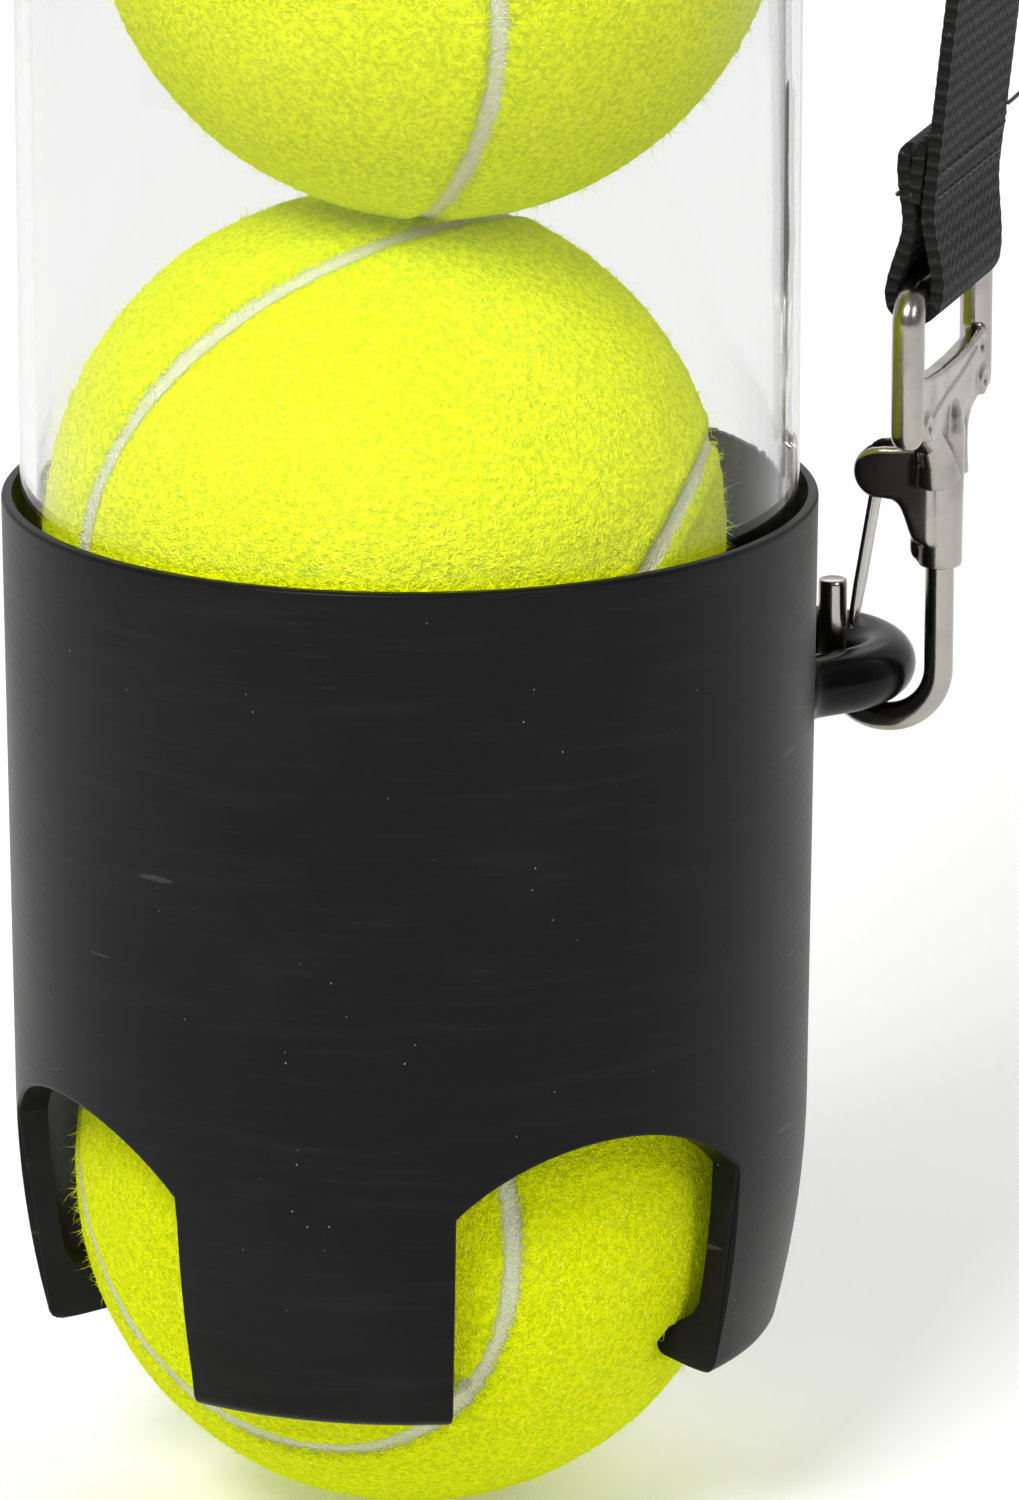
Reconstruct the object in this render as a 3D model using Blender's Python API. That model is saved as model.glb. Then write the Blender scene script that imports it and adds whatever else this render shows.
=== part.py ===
"""Ball pick-up tube.

A clear tube is pushed down over loose balls. Four springy fingers at its mouth part, let a ball
past their lips and close under it. A strap hooks to a loop on the cup at the bottom and to one on
the collar at the top, and the balls are tipped out past a lid.

Metres, +Z up. The origin is on the tube's axis where a hand grips it. Heights named here are
measured up from the fingertips, and the empty tube_axis puts them in place. +X runs through both
strap loops.
"""

import math

import bmesh
import bpy
from mathutils import Matrix, Vector

GRIP_HEIGHT = 0.500
GAP = 0.0003
TURN_STEPS = 48

TUBE_R = 0.0381
TUBE_WALL = 0.0016
TUBE_LENGTH = 0.940

SOCKET_R = TUBE_R + 0.0004
RIM_R = 0.03995
RIM_HEIGHT = 0.0846
RIM_EDGE = 0.0006
SEAT_HEIGHT = 0.0346
CURL_HEIGHT = 0.0246
CURL_TOP_R = 0.0393
CURL_RADIUS = 0.095
ROOT_HEIGHT = 0.0221
ARCH_HEIGHT = 0.0286

FINGERS = 4
FINGER_SPAN = math.radians(42.3)
FINGER_WALL = 0.003
FINGER_STEPS = 6
TIP_ROUND = 0.0024
LIP_R = 0.0297
LIP_ROUND = 0.0015
LIP_TOP_HEIGHT = 0.0058
NOTCH_HALF = math.pi / FINGERS - FINGER_SPAN / 2

BALLS = 12
BALL_R = 0.0327
FIRST_BALL_HEIGHT = 0.0160
BALL_CLEARANCE = 0.0002
BALL_LEFT, BALL_RIGHT = -0.0025, 0.0028
BALL_SWAY = Vector((0.8647, -0.5023, 0.0))

LOOP_ROD_R = 0.0032
LOOP_BEND_X = 0.0444
LOOP_BEND_R = 0.0092
LOOP_ROOT_X = 0.0360
LOWER_LOOP_HEIGHT = 0.0607

COLLAR_LOW = 0.9250
COLLAR_TOP = 0.9850
COLLAR_TOP_R = 0.0395
COLLAR_MOUTH_R = 0.0364
UPPER_LOOP_HEIGHT = COLLAR_LOW + RIM_HEIGHT - LOWER_LOOP_HEIGHT

LID_R = 0.0396
LID_THICKNESS = 0.0035
LID_EDGE = 0.0012
PLUG_R = 0.0361
PLUG_WALL = 0.0018
PLUG_DEPTH = 0.0095
TAB_R = 0.0090
TAB_X = -0.0375

STRAP_TURN = math.radians(-48.5)
HOOK_WIRE_R = 0.00145
HOOK_BEND_R = 0.00553
HOOK_LIMB_X = 0.0152
HOOK_BEND_Z = 0.0006
HOOK_TIP_Z = 0.0089
BARREL_R = 0.00227
BARREL_LOW, BARREL_HIGH = 0.0112, 0.0280
GUARD_LEFT_X, GUARD_LOW, GUARD_HIGH = 0.00664, 0.0180, 0.0235
GUARD_HALF = 0.0024
SLOT_HALF = 0.0019
SLOT_LEFT_X, SLOT_RIGHT_X = 0.0077, 0.0109
SLOT_TOP = 0.0227
GATE_PIVOT = Vector((0.00907, 0.0, 0.0215))
GATE_TILT = math.radians(9.3)
GATE_THICKNESS, GATE_WIDTH = 0.0006, 0.0034
GATE_ABOVE, GATE_BELOW = 0.0005, 0.0178
EYE_ROD_R = 0.0016
EYE_HALF = 0.0126
EYE_CORNER_R = 0.0028
BAR_Z = 0.0412
PLATE_LOW, PLATE_HIGH = 0.0272, 0.0324
PLATE_THICKNESS = 0.0022

STRAP_WIDTH = 0.025
STRAP_LOOP_WIDTH = 0.0214
STRAP_THICKNESS = 0.0014
STRAP_BOW = 0.0290
STRAP_TAIL = 0.0147
STRAP_CLOSE = 0.0080
STRAP_POINTS = 36


def clear_scene():
    """Removes whatever the file opened with."""
    for old in list(bpy.data.objects):
        bpy.data.objects.remove(old, do_unlink=True)


def plain_material(name, colour, roughness, metallic=0.0, transmission=0.0):
    """A Principled material."""
    material = bpy.data.materials.new(name)
    material.use_nodes = True
    shader = material.node_tree.nodes["Principled BSDF"]
    shader.inputs["Base Color"].default_value = (*colour, 1.0)
    shader.inputs["Roughness"].default_value = roughness
    shader.inputs["Metallic"].default_value = metallic
    shader.inputs["Transmission Weight"].default_value = transmission
    return material


def make_empty(name, parent=None, location=(0, 0, 0), rotation=(0, 0, 0)):
    """An empty that carries others."""
    empty = bpy.data.objects.new(name, None)
    bpy.context.scene.collection.objects.link(empty)
    empty.parent = parent
    empty.location = location
    empty.rotation_euler = rotation
    return empty


def make_piece(name, shape, material, parent, location=(0, 0, 0), rotation=(0, 0, 0)):
    """A named object from a bmesh, which it frees."""
    bmesh.ops.remove_doubles(shape, verts=shape.verts, dist=1e-6)
    bmesh.ops.recalc_face_normals(shape, faces=shape.faces)
    mesh = bpy.data.meshes.new(name)
    shape.to_mesh(mesh)
    shape.free()
    mesh.shade_smooth()
    mesh.set_sharp_from_angle(angle=math.radians(35))
    mesh.materials.append(material)
    piece = bpy.data.objects.new(name, mesh)
    bpy.context.scene.collection.objects.link(piece)
    piece.parent = parent
    piece.location = location
    piece.rotation_euler = rotation
    return piece


def add_boolean(piece, helper, operation):
    """Joins or cuts a piece with a helper that stays out of the model."""
    helper.hide_render = True
    helper.display_type = "WIRE"
    modifier = piece.modifiers.new(helper.name, "BOOLEAN")
    modifier.operation = operation
    modifier.object = helper
    modifier.solver = "EXACT"


def arc(centre, radius, start, end, steps):
    """Points along an arc in a plane, both ends included, angles in degrees."""
    angles = [math.radians(start + (end - start) * i / steps) for i in range(steps + 1)]
    return [(centre[0] + radius * math.cos(a), centre[1] + radius * math.sin(a)) for a in angles]


def turned(profile, closed=True):
    """A full turn of a profile of (radius, height) points about the tube's axis."""
    shape = bmesh.new()
    points = [shape.verts.new((r, 0, h)) for r, h in profile]
    pairs = list(zip(points, points[1:] + points[:1])) if closed else list(zip(points, points[1:]))
    edges = [shape.edges.new(pair) for pair in pairs]
    bmesh.ops.spin(
        shape,
        geom=points + edges,
        cent=(0, 0, 0),
        axis=(0, 0, 1),
        angle=math.tau,
        steps=TURN_STEPS,
        use_merge=True,
    )
    return shape


def turned_sector(profile, span, steps):
    """Part of a turn of a closed profile, centred on +X, with both ends filled."""
    shape = bmesh.new()
    start = Matrix.Rotation(-span / 2, 3, "Z")
    points = [shape.verts.new(start @ Vector((r, 0, h))) for r, h in profile]
    edges = [shape.edges.new(pair) for pair in zip(points, points[1:] + points[:1])]
    spun = bmesh.ops.spin(
        shape,
        geom=points + edges,
        cent=(0, 0, 0),
        axis=(0, 0, 1),
        angle=span,
        steps=steps,
    )
    shape.faces.new(points)
    last = [e for e in spun["geom_last"] if isinstance(e, bmesh.types.BMEdge)]
    bmesh.ops.contextual_create(shape, geom=last)
    return shape


def rod(points, radius, bevel_resolution):
    """A round rod along a smooth run of points, with flat ends."""
    curve = bpy.data.curves.new("rod_guide", "CURVE")
    curve.dimensions = "3D"
    curve.bevel_depth = radius
    curve.bevel_resolution = bevel_resolution
    curve.use_fill_caps = True
    spline = curve.splines.new("POLY")
    spline.points.add(len(points) - 1)
    for point, place in zip(spline.points, points):
        point.co = (*place, 1.0)
    guide = bpy.data.objects.new("rod_guide", curve)
    shape = bmesh.new()
    shape.from_mesh(guide.to_mesh())
    bpy.data.objects.remove(guide)
    bpy.data.curves.remove(curve)
    return shape


def slab(outline, thickness, place):
    """A flat outline given a thickness. place turns a point and a side of -1 or 1 into a position."""
    shape = bmesh.new()
    faces = [[shape.verts.new(place(p, side * thickness / 2)) for p in outline] for side in (-1, 1)]
    shape.faces.new(faces[0])
    shape.faces.new(faces[1])
    for i in range(len(outline)):
        j = (i + 1) % len(outline)
        shape.faces.new((faces[0][i], faces[0][j], faces[1][j], faces[1][i]))
    return shape


def block(low, high):
    """A box between two corners."""
    middle, size = (Vector(low) + Vector(high)) / 2, Vector(high) - Vector(low)
    shape = bmesh.new()
    place = Matrix.Translation(middle) @ Matrix.Diagonal((*size, 1.0))
    bmesh.ops.create_cube(shape, size=1.0, matrix=place)
    return shape


def outer_r(height):
    """The outside of the cup and its fingers: a slight draft, then a curl inwards."""
    if height >= CURL_HEIGHT:
        share = (height - CURL_HEIGHT) / (RIM_HEIGHT - CURL_HEIGHT)
        return CURL_TOP_R + (RIM_R - CURL_TOP_R) * share
    return CURL_TOP_R - (CURL_HEIGHT - height) ** 2 / (2 * CURL_RADIUS)


def inner_r(height):
    """The inside of the cup below the tube's seat, and of its fingers."""
    return outer_r(min(height, CURL_HEIGHT)) - FINGER_WALL


def make_tube(material, axis):
    """The clear tube, from its seat in the cup to its seat in the collar."""
    low, high = SEAT_HEIGHT + GAP, SEAT_HEIGHT + GAP + TUBE_LENGTH
    inside = TUBE_R - TUBE_WALL
    make_piece("clear_tube", turned([(TUBE_R, low), (TUBE_R, high), (inside, high), (inside, low)]), material, axis)


def notch_cutter(turn, material, axis):
    """The arch between two fingers, as a wedge that widens outwards."""
    half_width = NOTCH_HALF * CURL_TOP_R
    rise = ARCH_HEIGHT - ROOT_HEIGHT
    radius = (half_width**2 + rise**2) / (2 * rise)
    sweep = math.degrees(math.asin(half_width / radius))
    curve = arc((0, ARCH_HEIGHT - radius), radius, 90 - sweep, 90 + sweep, 12)
    outline = [(-half_width, 0.0), (half_width, 0.0)] + curve

    def place(point, side):
        angle = turn + point[0] / CURL_TOP_R
        radius_here = CURL_TOP_R + side
        return (radius_here * math.cos(angle), radius_here * math.sin(angle), point[1])

    cutter = make_piece("notch_cutter", slab(outline, 0.020, place), material, axis)
    return cutter


def make_cup(material, axis):
    """The pick-up cup: a socket for the tube, a seat under its end and four arches."""
    profile = [
        (RIM_R - RIM_EDGE, RIM_HEIGHT),
        (RIM_R, RIM_HEIGHT - RIM_EDGE),
        (CURL_TOP_R, CURL_HEIGHT),
        (outer_r(ROOT_HEIGHT), ROOT_HEIGHT),
        (inner_r(ROOT_HEIGHT), ROOT_HEIGHT),
        (inner_r(SEAT_HEIGHT), SEAT_HEIGHT),
        (SOCKET_R, SEAT_HEIGHT),
        (SOCKET_R, RIM_HEIGHT - 2 * RIM_EDGE),
        (SOCKET_R + RIM_EDGE, RIM_HEIGHT),
    ]
    cup = make_piece("pickup_cup", turned(profile), material, axis)
    for k in range(FINGERS):
        add_boolean(cup, notch_cutter(math.tau * k / FINGERS, material, axis), "DIFFERENCE")


def finger_profile():
    """A finger's section: curled wall, rounded tip and a lip that holds the ball."""
    top = ROOT_HEIGHT - GAP
    heights = [top + (TIP_ROUND - top) * i / 5 for i in range(6)]
    outside = [(outer_r(h), h) for h in heights]
    tip = arc((outer_r(TIP_ROUND) - TIP_ROUND, TIP_ROUND), TIP_ROUND, 0, -90, 3)[1:]
    nose = arc((LIP_R + LIP_ROUND, LIP_ROUND), LIP_ROUND, 270, 90, 4)
    wall = [(inner_r(h), h) for h in (LIP_TOP_HEIGHT, 0.0110, 0.0165, top)]
    return outside + tip + nose + wall


def make_fingers(material, axis):
    """The four fingers, each hinged at its root, where the moulding flexes."""
    pivot_r = outer_r(ROOT_HEIGHT)
    for k in range(FINGERS):
        turn = math.tau * (k + 0.5) / FINGERS
        shape = turned_sector(finger_profile(), FINGER_SPAN, FINGER_STEPS)
        bmesh.ops.translate(shape, verts=shape.verts, vec=(-pivot_r, 0, -(ROOT_HEIGHT - GAP)))
        place = (pivot_r * math.cos(turn), pivot_r * math.sin(turn), ROOT_HEIGHT - GAP)
        make_piece(f"finger_{k + 1}", shape, material, axis, place, (0, 0, turn))


def ball_places():
    """The ball centres: the first lies on the lips, the rest lean left and right in turn."""
    places, height, previous = [], FIRST_BALL_HEIGHT, 0.0
    for k in range(BALLS):
        sway = 0.0 if k == 0 else (BALL_LEFT if k % 2 else BALL_RIGHT)
        if k:
            reach = 2 * BALL_R + BALL_CLEARANCE
            height += math.sqrt(reach**2 - (sway - previous) ** 2)
        places.append(BALL_SWAY * sway + Vector((0, 0, height)))
        previous = sway
    return places


def make_balls(material, axis):
    """The stack of balls, each with its origin at its centre."""
    for k, place in enumerate(ball_places()):
        shape = bmesh.new()
        bmesh.ops.create_uvsphere(shape, u_segments=18, v_segments=10, radius=BALL_R)
        make_piece(f"ball_{k + 1:02d}", shape, material, axis, place)


def make_loop(name, height, clear_r, material, axis):
    """A strap loop: a round rod bent to a U, standing out level from a wall of radius clear_r."""
    bend = arc((LOOP_BEND_X, 0), LOOP_BEND_R, -90, 90, 12)
    route = [(LOOP_ROOT_X, -LOOP_BEND_R)] + bend + [(LOOP_ROOT_X, LOOP_BEND_R)]
    shape = rod([(x, y, height) for x, y in route], LOOP_ROD_R, 3)
    loop = make_piece(name, shape, material, axis)
    wall = bmesh.new()
    bmesh.ops.create_cone(
        wall,
        cap_ends=True,
        segments=96,
        radius1=clear_r + GAP,
        radius2=clear_r + GAP,
        depth=6 * LOOP_ROD_R,
        matrix=Matrix.Translation((0, 0, height)),
    )
    add_boolean(loop, make_piece(f"{name}_wall", wall, material, axis), "DIFFERENCE")


def make_collar(material, axis):
    """The collar on the tube's top end, with the ring that the tube's end seats against."""
    seat = SEAT_HEIGHT + TUBE_LENGTH + 2 * GAP
    profile = [
        (COLLAR_TOP_R - RIM_EDGE, COLLAR_TOP),
        (COLLAR_TOP_R, COLLAR_TOP - RIM_EDGE),
        (RIM_R, COLLAR_LOW + RIM_EDGE),
        (RIM_R - RIM_EDGE, COLLAR_LOW),
        (SOCKET_R + RIM_EDGE, COLLAR_LOW),
        (SOCKET_R, COLLAR_LOW + 2 * RIM_EDGE),
        (SOCKET_R, seat),
        (COLLAR_MOUTH_R, seat),
        (COLLAR_MOUTH_R, COLLAR_TOP),
    ]
    make_piece("top_collar", turned(profile), material, axis)


def make_lid(material, axis):
    """The lid that pulls off the collar: a disc, a plug skirt and a finger tab."""
    low = COLLAR_TOP + GAP
    top = low + LID_THICKNESS
    profile = [
        (0, top),
        (LID_R - LID_EDGE, top),
        (LID_R, top - LID_EDGE),
        (LID_R, low),
        (PLUG_R, low),
        (PLUG_R, low - PLUG_DEPTH),
        (PLUG_R - PLUG_WALL, low - PLUG_DEPTH),
        (PLUG_R - PLUG_WALL, low),
        (0, low),
    ]
    place = Vector((0, 0, low))
    shape = turned(profile, closed=False)
    bmesh.ops.translate(shape, verts=shape.verts, vec=-place)
    lid = make_piece("lid", shape, material, axis, place)
    tab = bmesh.new()
    bmesh.ops.create_cone(
        tab,
        cap_ends=True,
        segments=32,
        radius1=TAB_R,
        radius2=TAB_R,
        depth=LID_THICKNESS - LID_EDGE,
        matrix=Matrix.Translation((TAB_X, 0, (LID_THICKNESS - LID_EDGE) / 2 + LID_EDGE / 4)),
    )
    add_boolean(lid, make_piece("lid_tab", tab, material, axis, place), "UNION")


def make_hook_body(name, material, carrier):
    """The pressed-steel body: rolled barrel, guard over the gate, cross plate and strap eye."""
    barrel = bmesh.new()
    bmesh.ops.create_cone(
        barrel,
        cap_ends=True,
        segments=16,
        radius1=BARREL_R,
        radius2=BARREL_R,
        depth=BARREL_HIGH - BARREL_LOW,
        matrix=Matrix.Translation((HOOK_LIMB_X, 0, (BARREL_LOW + BARREL_HIGH) / 2)),
    )
    body = make_piece(f"{name}_body", barrel, material, carrier)

    round_r = (GUARD_HIGH - GUARD_LOW) / 2
    end = arc((GUARD_LEFT_X + round_r, GUARD_LOW + round_r), round_r, 90, 270, 8)
    web = [(0.0112, GUARD_LOW), (0.0124, 0.0155), (0.0130, 0.0120), (HOOK_LIMB_X, 0.0120)]
    outline = [(HOOK_LIMB_X, GUARD_HIGH)] + end + web
    guard = slab(outline, 2 * GUARD_HALF, lambda p, side: (p[0], side, p[1]))
    add_boolean(body, make_piece(f"{name}_guard", guard, material, carrier), "UNION")

    slot = block((SLOT_LEFT_X, -SLOT_HALF, GUARD_LOW - 0.002), (SLOT_RIGHT_X, SLOT_HALF, SLOT_TOP))
    add_boolean(body, make_piece(f"{name}_slot", slot, material, carrier), "DIFFERENCE")

    outer = EYE_HALF + EYE_ROD_R * 0.6
    half = [(0.0034, 0.0252), (0.0110, PLATE_LOW), (outer, PLATE_LOW + 0.0018), (outer, PLATE_HIGH - 0.0016)]
    outline = half + [(-y, z) for y, z in reversed(half)]
    plate = slab(outline, PLATE_THICKNESS, lambda p, side: (HOOK_LIMB_X + side, p[0], p[1]))
    add_boolean(body, make_piece(f"{name}_plate", plate, material, carrier), "UNION")

    corner_y, corner_z = EYE_HALF - EYE_CORNER_R, BAR_Z - EYE_CORNER_R
    right = arc((corner_y, corner_z), EYE_CORNER_R, 0, 90, 4)
    route = [(EYE_HALF, PLATE_LOW + 0.0025)] + right
    route += [(-y, z) for y, z in reversed(route)]
    eye = rod([(HOOK_LIMB_X, y, z) for y, z in route], EYE_ROD_R, 3)
    add_boolean(body, make_piece(f"{name}_eye", eye, material, carrier), "UNION")


def make_hook_wire(name, material, carrier):
    """The J of round wire that is held in the barrel."""
    centre = (HOOK_LIMB_X - HOOK_BEND_R, HOOK_BEND_Z)
    bend = arc(centre, HOOK_BEND_R, 0, -180, 12)
    route = [(HOOK_LIMB_X, BARREL_LOW - GAP)] + bend + [(HOOK_LIMB_X - 2 * HOOK_BEND_R, HOOK_TIP_Z)]
    shape = rod([(x, 0, z) for x, z in route], HOOK_WIRE_R, 3)
    make_piece(f"{name}_wire", shape, material, carrier)


def make_hook_gate(name, material, carrier):
    """The leaf spring that closes the hook, with its origin where it bends under the guard."""
    low = (-GATE_THICKNESS / 2, -GATE_WIDTH / 2, -GATE_BELOW)
    high = (GATE_THICKNESS / 2, GATE_WIDTH / 2, GATE_ABOVE)
    make_piece(f"{name}_gate", block(low, high), material, carrier, GATE_PIVOT, (0, GATE_TILT, 0))


def make_hook(name, material, carrier):
    """One snap hook, laid out from the centre of the loop's bend: +X outwards, +Z to the strap."""
    make_hook_body(name, material, carrier)
    make_hook_wire(name, material, carrier)
    make_hook_gate(name, material, carrier)


def strap_middle(height, low, high):
    """How far out the strap's middle lies: it bows away from the tube between the two bars."""
    return HOOK_LIMB_X + STRAP_BOW * math.sin(math.pi * (height - low) / (high - low))


def strap_route():
    """(out, height, width) along the webbing: tail, round the lower bar, up, round the upper bar, tail."""
    low, high = LOWER_LOOP_HEIGHT + BAR_Z, UPPER_LOOP_HEIGHT - BAR_Z
    wrap_r = EYE_ROD_R + GAP + STRAP_THICKNESS / 2
    pressed = (STRAP_THICKNESS + GAP) / 2

    def spaced(height, side):
        near = min(height - low, high - height)
        share = max(0.0, 1.0 - near / STRAP_CLOSE)
        ease = share * share * (3 - 2 * share)
        width = STRAP_WIDTH + (STRAP_LOOP_WIDTH - STRAP_WIDTH) * ease
        return (strap_middle(height, low, high) + side * (pressed + (wrap_r - pressed) * ease), height, width)

    steps = [STRAP_TAIL * i / 8 for i in range(9)]
    span = high - low - 2 * STRAP_TAIL
    main = [low + STRAP_TAIL + span * i / STRAP_POINTS for i in range(1, STRAP_POINTS)]
    rise = [low + s for s in steps]
    fall = [high - s for s in steps]
    under = [(HOOK_LIMB_X + x, low + z, STRAP_LOOP_WIDTH) for x, z in arc((0, 0), wrap_r, 180, 360, 8)[1:-1]]
    over = [(HOOK_LIMB_X + x, high + z, STRAP_LOOP_WIDTH) for x, z in arc((0, 0), wrap_r, 0, 180, 8)[1:-1]]
    route = [spaced(h, -1) for h in reversed(rise)] + under
    route += [spaced(h, 1) for h in rise + main + fall[::-1]] + over
    return route + [spaced(h, -1) for h in fall]


def make_strap(material, carrier):
    """The webbing, one ribbon folded round both bars and sewn to itself."""
    route = strap_route()
    shape = bmesh.new()
    rings = []
    for i, (out, height, width) in enumerate(route):
        before, after = route[max(i - 1, 0)], route[min(i + 1, len(route) - 1)]
        along = Vector((after[0] - before[0], 0, after[1] - before[1])).normalized()
        across = Vector((along.z, 0, -along.x)) * STRAP_THICKNESS / 2
        middle, side = Vector((out, 0, height)), Vector((0, width / 2, 0))
        corners = (middle + across + side, middle + across - side, middle - across - side, middle - across + side)
        rings.append([shape.verts.new(c) for c in corners])
    for first, second in zip(rings, rings[1:]):
        for k in range(4):
            n = (k + 1) % 4
            shape.faces.new((first[k], first[n], second[n], second[k]))
    shape.faces.new(rings[0])
    shape.faces.new(rings[-1])
    make_piece("strap_webbing", shape, material, carrier)


def main():
    """Builds the whole tube."""
    clear_scene()
    clear = plain_material("clear_plastic", (0.93, 0.95, 0.95), 0.05, transmission=1.0)
    black = plain_material("black_plastic", (0.020, 0.019, 0.021), 0.42)
    felt = plain_material("yellow_felt", (0.62, 0.85, 0.01), 0.95)
    steel = plain_material("nickel_steel", (0.62, 0.60, 0.57), 0.22, metallic=1.0)
    webbing = plain_material("black_webbing", (0.018, 0.018, 0.019), 0.80)

    axis = make_empty("tube_axis", location=(0, 0, -GRIP_HEIGHT))
    make_tube(clear, axis)
    make_cup(black, axis)
    make_fingers(black, axis)
    make_loop("lower_strap_loop", LOWER_LOOP_HEIGHT, RIM_R, black, axis)
    make_balls(felt, axis)
    make_collar(black, axis)
    make_loop("upper_strap_loop", UPPER_LOOP_HEIGHT, RIM_R, black, axis)
    make_lid(black, axis)

    swing = make_empty("strap_swing_axis", axis, (LOOP_BEND_X, 0, 0), (0, 0, STRAP_TURN))
    lower = make_empty("lower_hook_place", swing, (0, 0, LOWER_LOOP_HEIGHT))
    upper = make_empty("upper_hook_place", swing, (0, 0, UPPER_LOOP_HEIGHT), (math.pi, 0, 0))
    make_hook("lower_hook", steel, lower)
    make_hook("upper_hook", steel, upper)
    make_strap(webbing, swing)


main()
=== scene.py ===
"""The looks of a ball pick-up tube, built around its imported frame.

Each sub-assembly is a class that shapes its pieces, dresses them and hands them to the body they
ride on. Sizes are in metres. Heights are measured up from the fingertips, and Datum turns them
into the frame's own z.
"""

import logging
import math
from collections.abc import Callable, Sequence
from dataclasses import dataclass
from enum import Enum

import bmesh
import bpy
import numpy as np
from mathutils import Euler, Matrix, Vector, kdtree, noise


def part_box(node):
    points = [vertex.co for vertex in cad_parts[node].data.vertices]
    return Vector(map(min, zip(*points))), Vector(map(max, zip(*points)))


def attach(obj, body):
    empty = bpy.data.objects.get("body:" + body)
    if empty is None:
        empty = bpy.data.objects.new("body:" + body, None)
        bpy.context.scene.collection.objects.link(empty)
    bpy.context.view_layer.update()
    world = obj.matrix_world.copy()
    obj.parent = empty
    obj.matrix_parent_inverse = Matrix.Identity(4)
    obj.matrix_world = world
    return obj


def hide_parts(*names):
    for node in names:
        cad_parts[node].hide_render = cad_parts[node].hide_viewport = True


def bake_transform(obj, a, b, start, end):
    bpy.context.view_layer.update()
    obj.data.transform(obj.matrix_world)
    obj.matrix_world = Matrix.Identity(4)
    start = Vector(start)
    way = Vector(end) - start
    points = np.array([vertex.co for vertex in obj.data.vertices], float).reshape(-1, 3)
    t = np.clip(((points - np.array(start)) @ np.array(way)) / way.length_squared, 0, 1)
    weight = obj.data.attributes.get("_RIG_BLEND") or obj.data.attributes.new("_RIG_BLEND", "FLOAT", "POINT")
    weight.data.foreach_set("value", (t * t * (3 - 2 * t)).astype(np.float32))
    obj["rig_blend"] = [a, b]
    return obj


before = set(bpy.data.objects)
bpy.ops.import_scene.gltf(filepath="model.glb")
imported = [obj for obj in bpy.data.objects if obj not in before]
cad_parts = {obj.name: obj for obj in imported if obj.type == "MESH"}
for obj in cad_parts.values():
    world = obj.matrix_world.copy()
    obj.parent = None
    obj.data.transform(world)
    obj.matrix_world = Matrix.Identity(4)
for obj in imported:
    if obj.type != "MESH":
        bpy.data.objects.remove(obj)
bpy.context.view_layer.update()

log = logging.getLogger("ball_tube")

MM = 0.001
Colour = tuple[float, float, float]
Point = tuple[float, float]


# ---------------------------------------------------------------------------------------------
# Shader writing
# ---------------------------------------------------------------------------------------------


class Value:
    """A number that varies over a surface: an output socket with arithmetic."""

    def __init__(self, paint: "Nodes", socket: bpy.types.NodeSocket) -> None:
        """Wraps a socket of a paint's node tree."""
        self.paint = paint
        self.socket = socket

    def _math(self, operation: str, first: "Value | float", second: "Value | float" = 0.0) -> "Value":
        """Adds one Math node.

        Args:
            operation: the Math node's operation.
            first: the upper input.
            second: the lower input.

        Returns:
            The node's result.
        """
        node = self.paint.node("ShaderNodeMath", {"operation": operation}, {0: first, 1: second})
        return Value(self.paint, node.outputs[0])

    def __add__(self, other: "Value | float") -> "Value":
        """self + other."""
        return self._math("ADD", self, other)

    def __radd__(self, other: float) -> "Value":
        """other + self."""
        return self._math("ADD", other, self)

    def __sub__(self, other: "Value | float") -> "Value":
        """self - other."""
        return self._math("SUBTRACT", self, other)

    def __rsub__(self, other: float) -> "Value":
        """other - self."""
        return self._math("SUBTRACT", other, self)

    def __mul__(self, other: "Value | float") -> "Value":
        """self * other."""
        return self._math("MULTIPLY", self, other)

    def __rmul__(self, other: float) -> "Value":
        """other * self."""
        return self._math("MULTIPLY", other, self)

    def __truediv__(self, other: "Value | float") -> "Value":
        """self / other."""
        return self._math("DIVIDE", self, other)

    def __rtruediv__(self, other: float) -> "Value":
        """other / self."""
        return self._math("DIVIDE", other, self)

    def __pow__(self, other: float) -> "Value":
        """self to a power."""
        return self._math("POWER", self, other)

    def __abs__(self) -> "Value":
        """The size of self."""
        return self._math("ABSOLUTE", self)

    def wave(self) -> "Value":
        """The sine of self."""
        return self._math("SINE", self)

    def fraction(self) -> "Value":
        """What is left of self after its whole part."""
        return self._math("FRACT", self)

    def ramp(self, low: float, high: float) -> "Value":
        """A smooth step.

        Args:
            low: where the result is 0.
            high: where the result is 1. It may lie below low.

        Returns:
            A value from 0 to 1.
        """
        settings = {"interpolation_type": "SMOOTHSTEP"}
        links = {"Value": self, "From Min": low, "From Max": high}
        return Value(self.paint, self.paint.node("ShaderNodeMapRange", settings, links).outputs[0])


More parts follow.
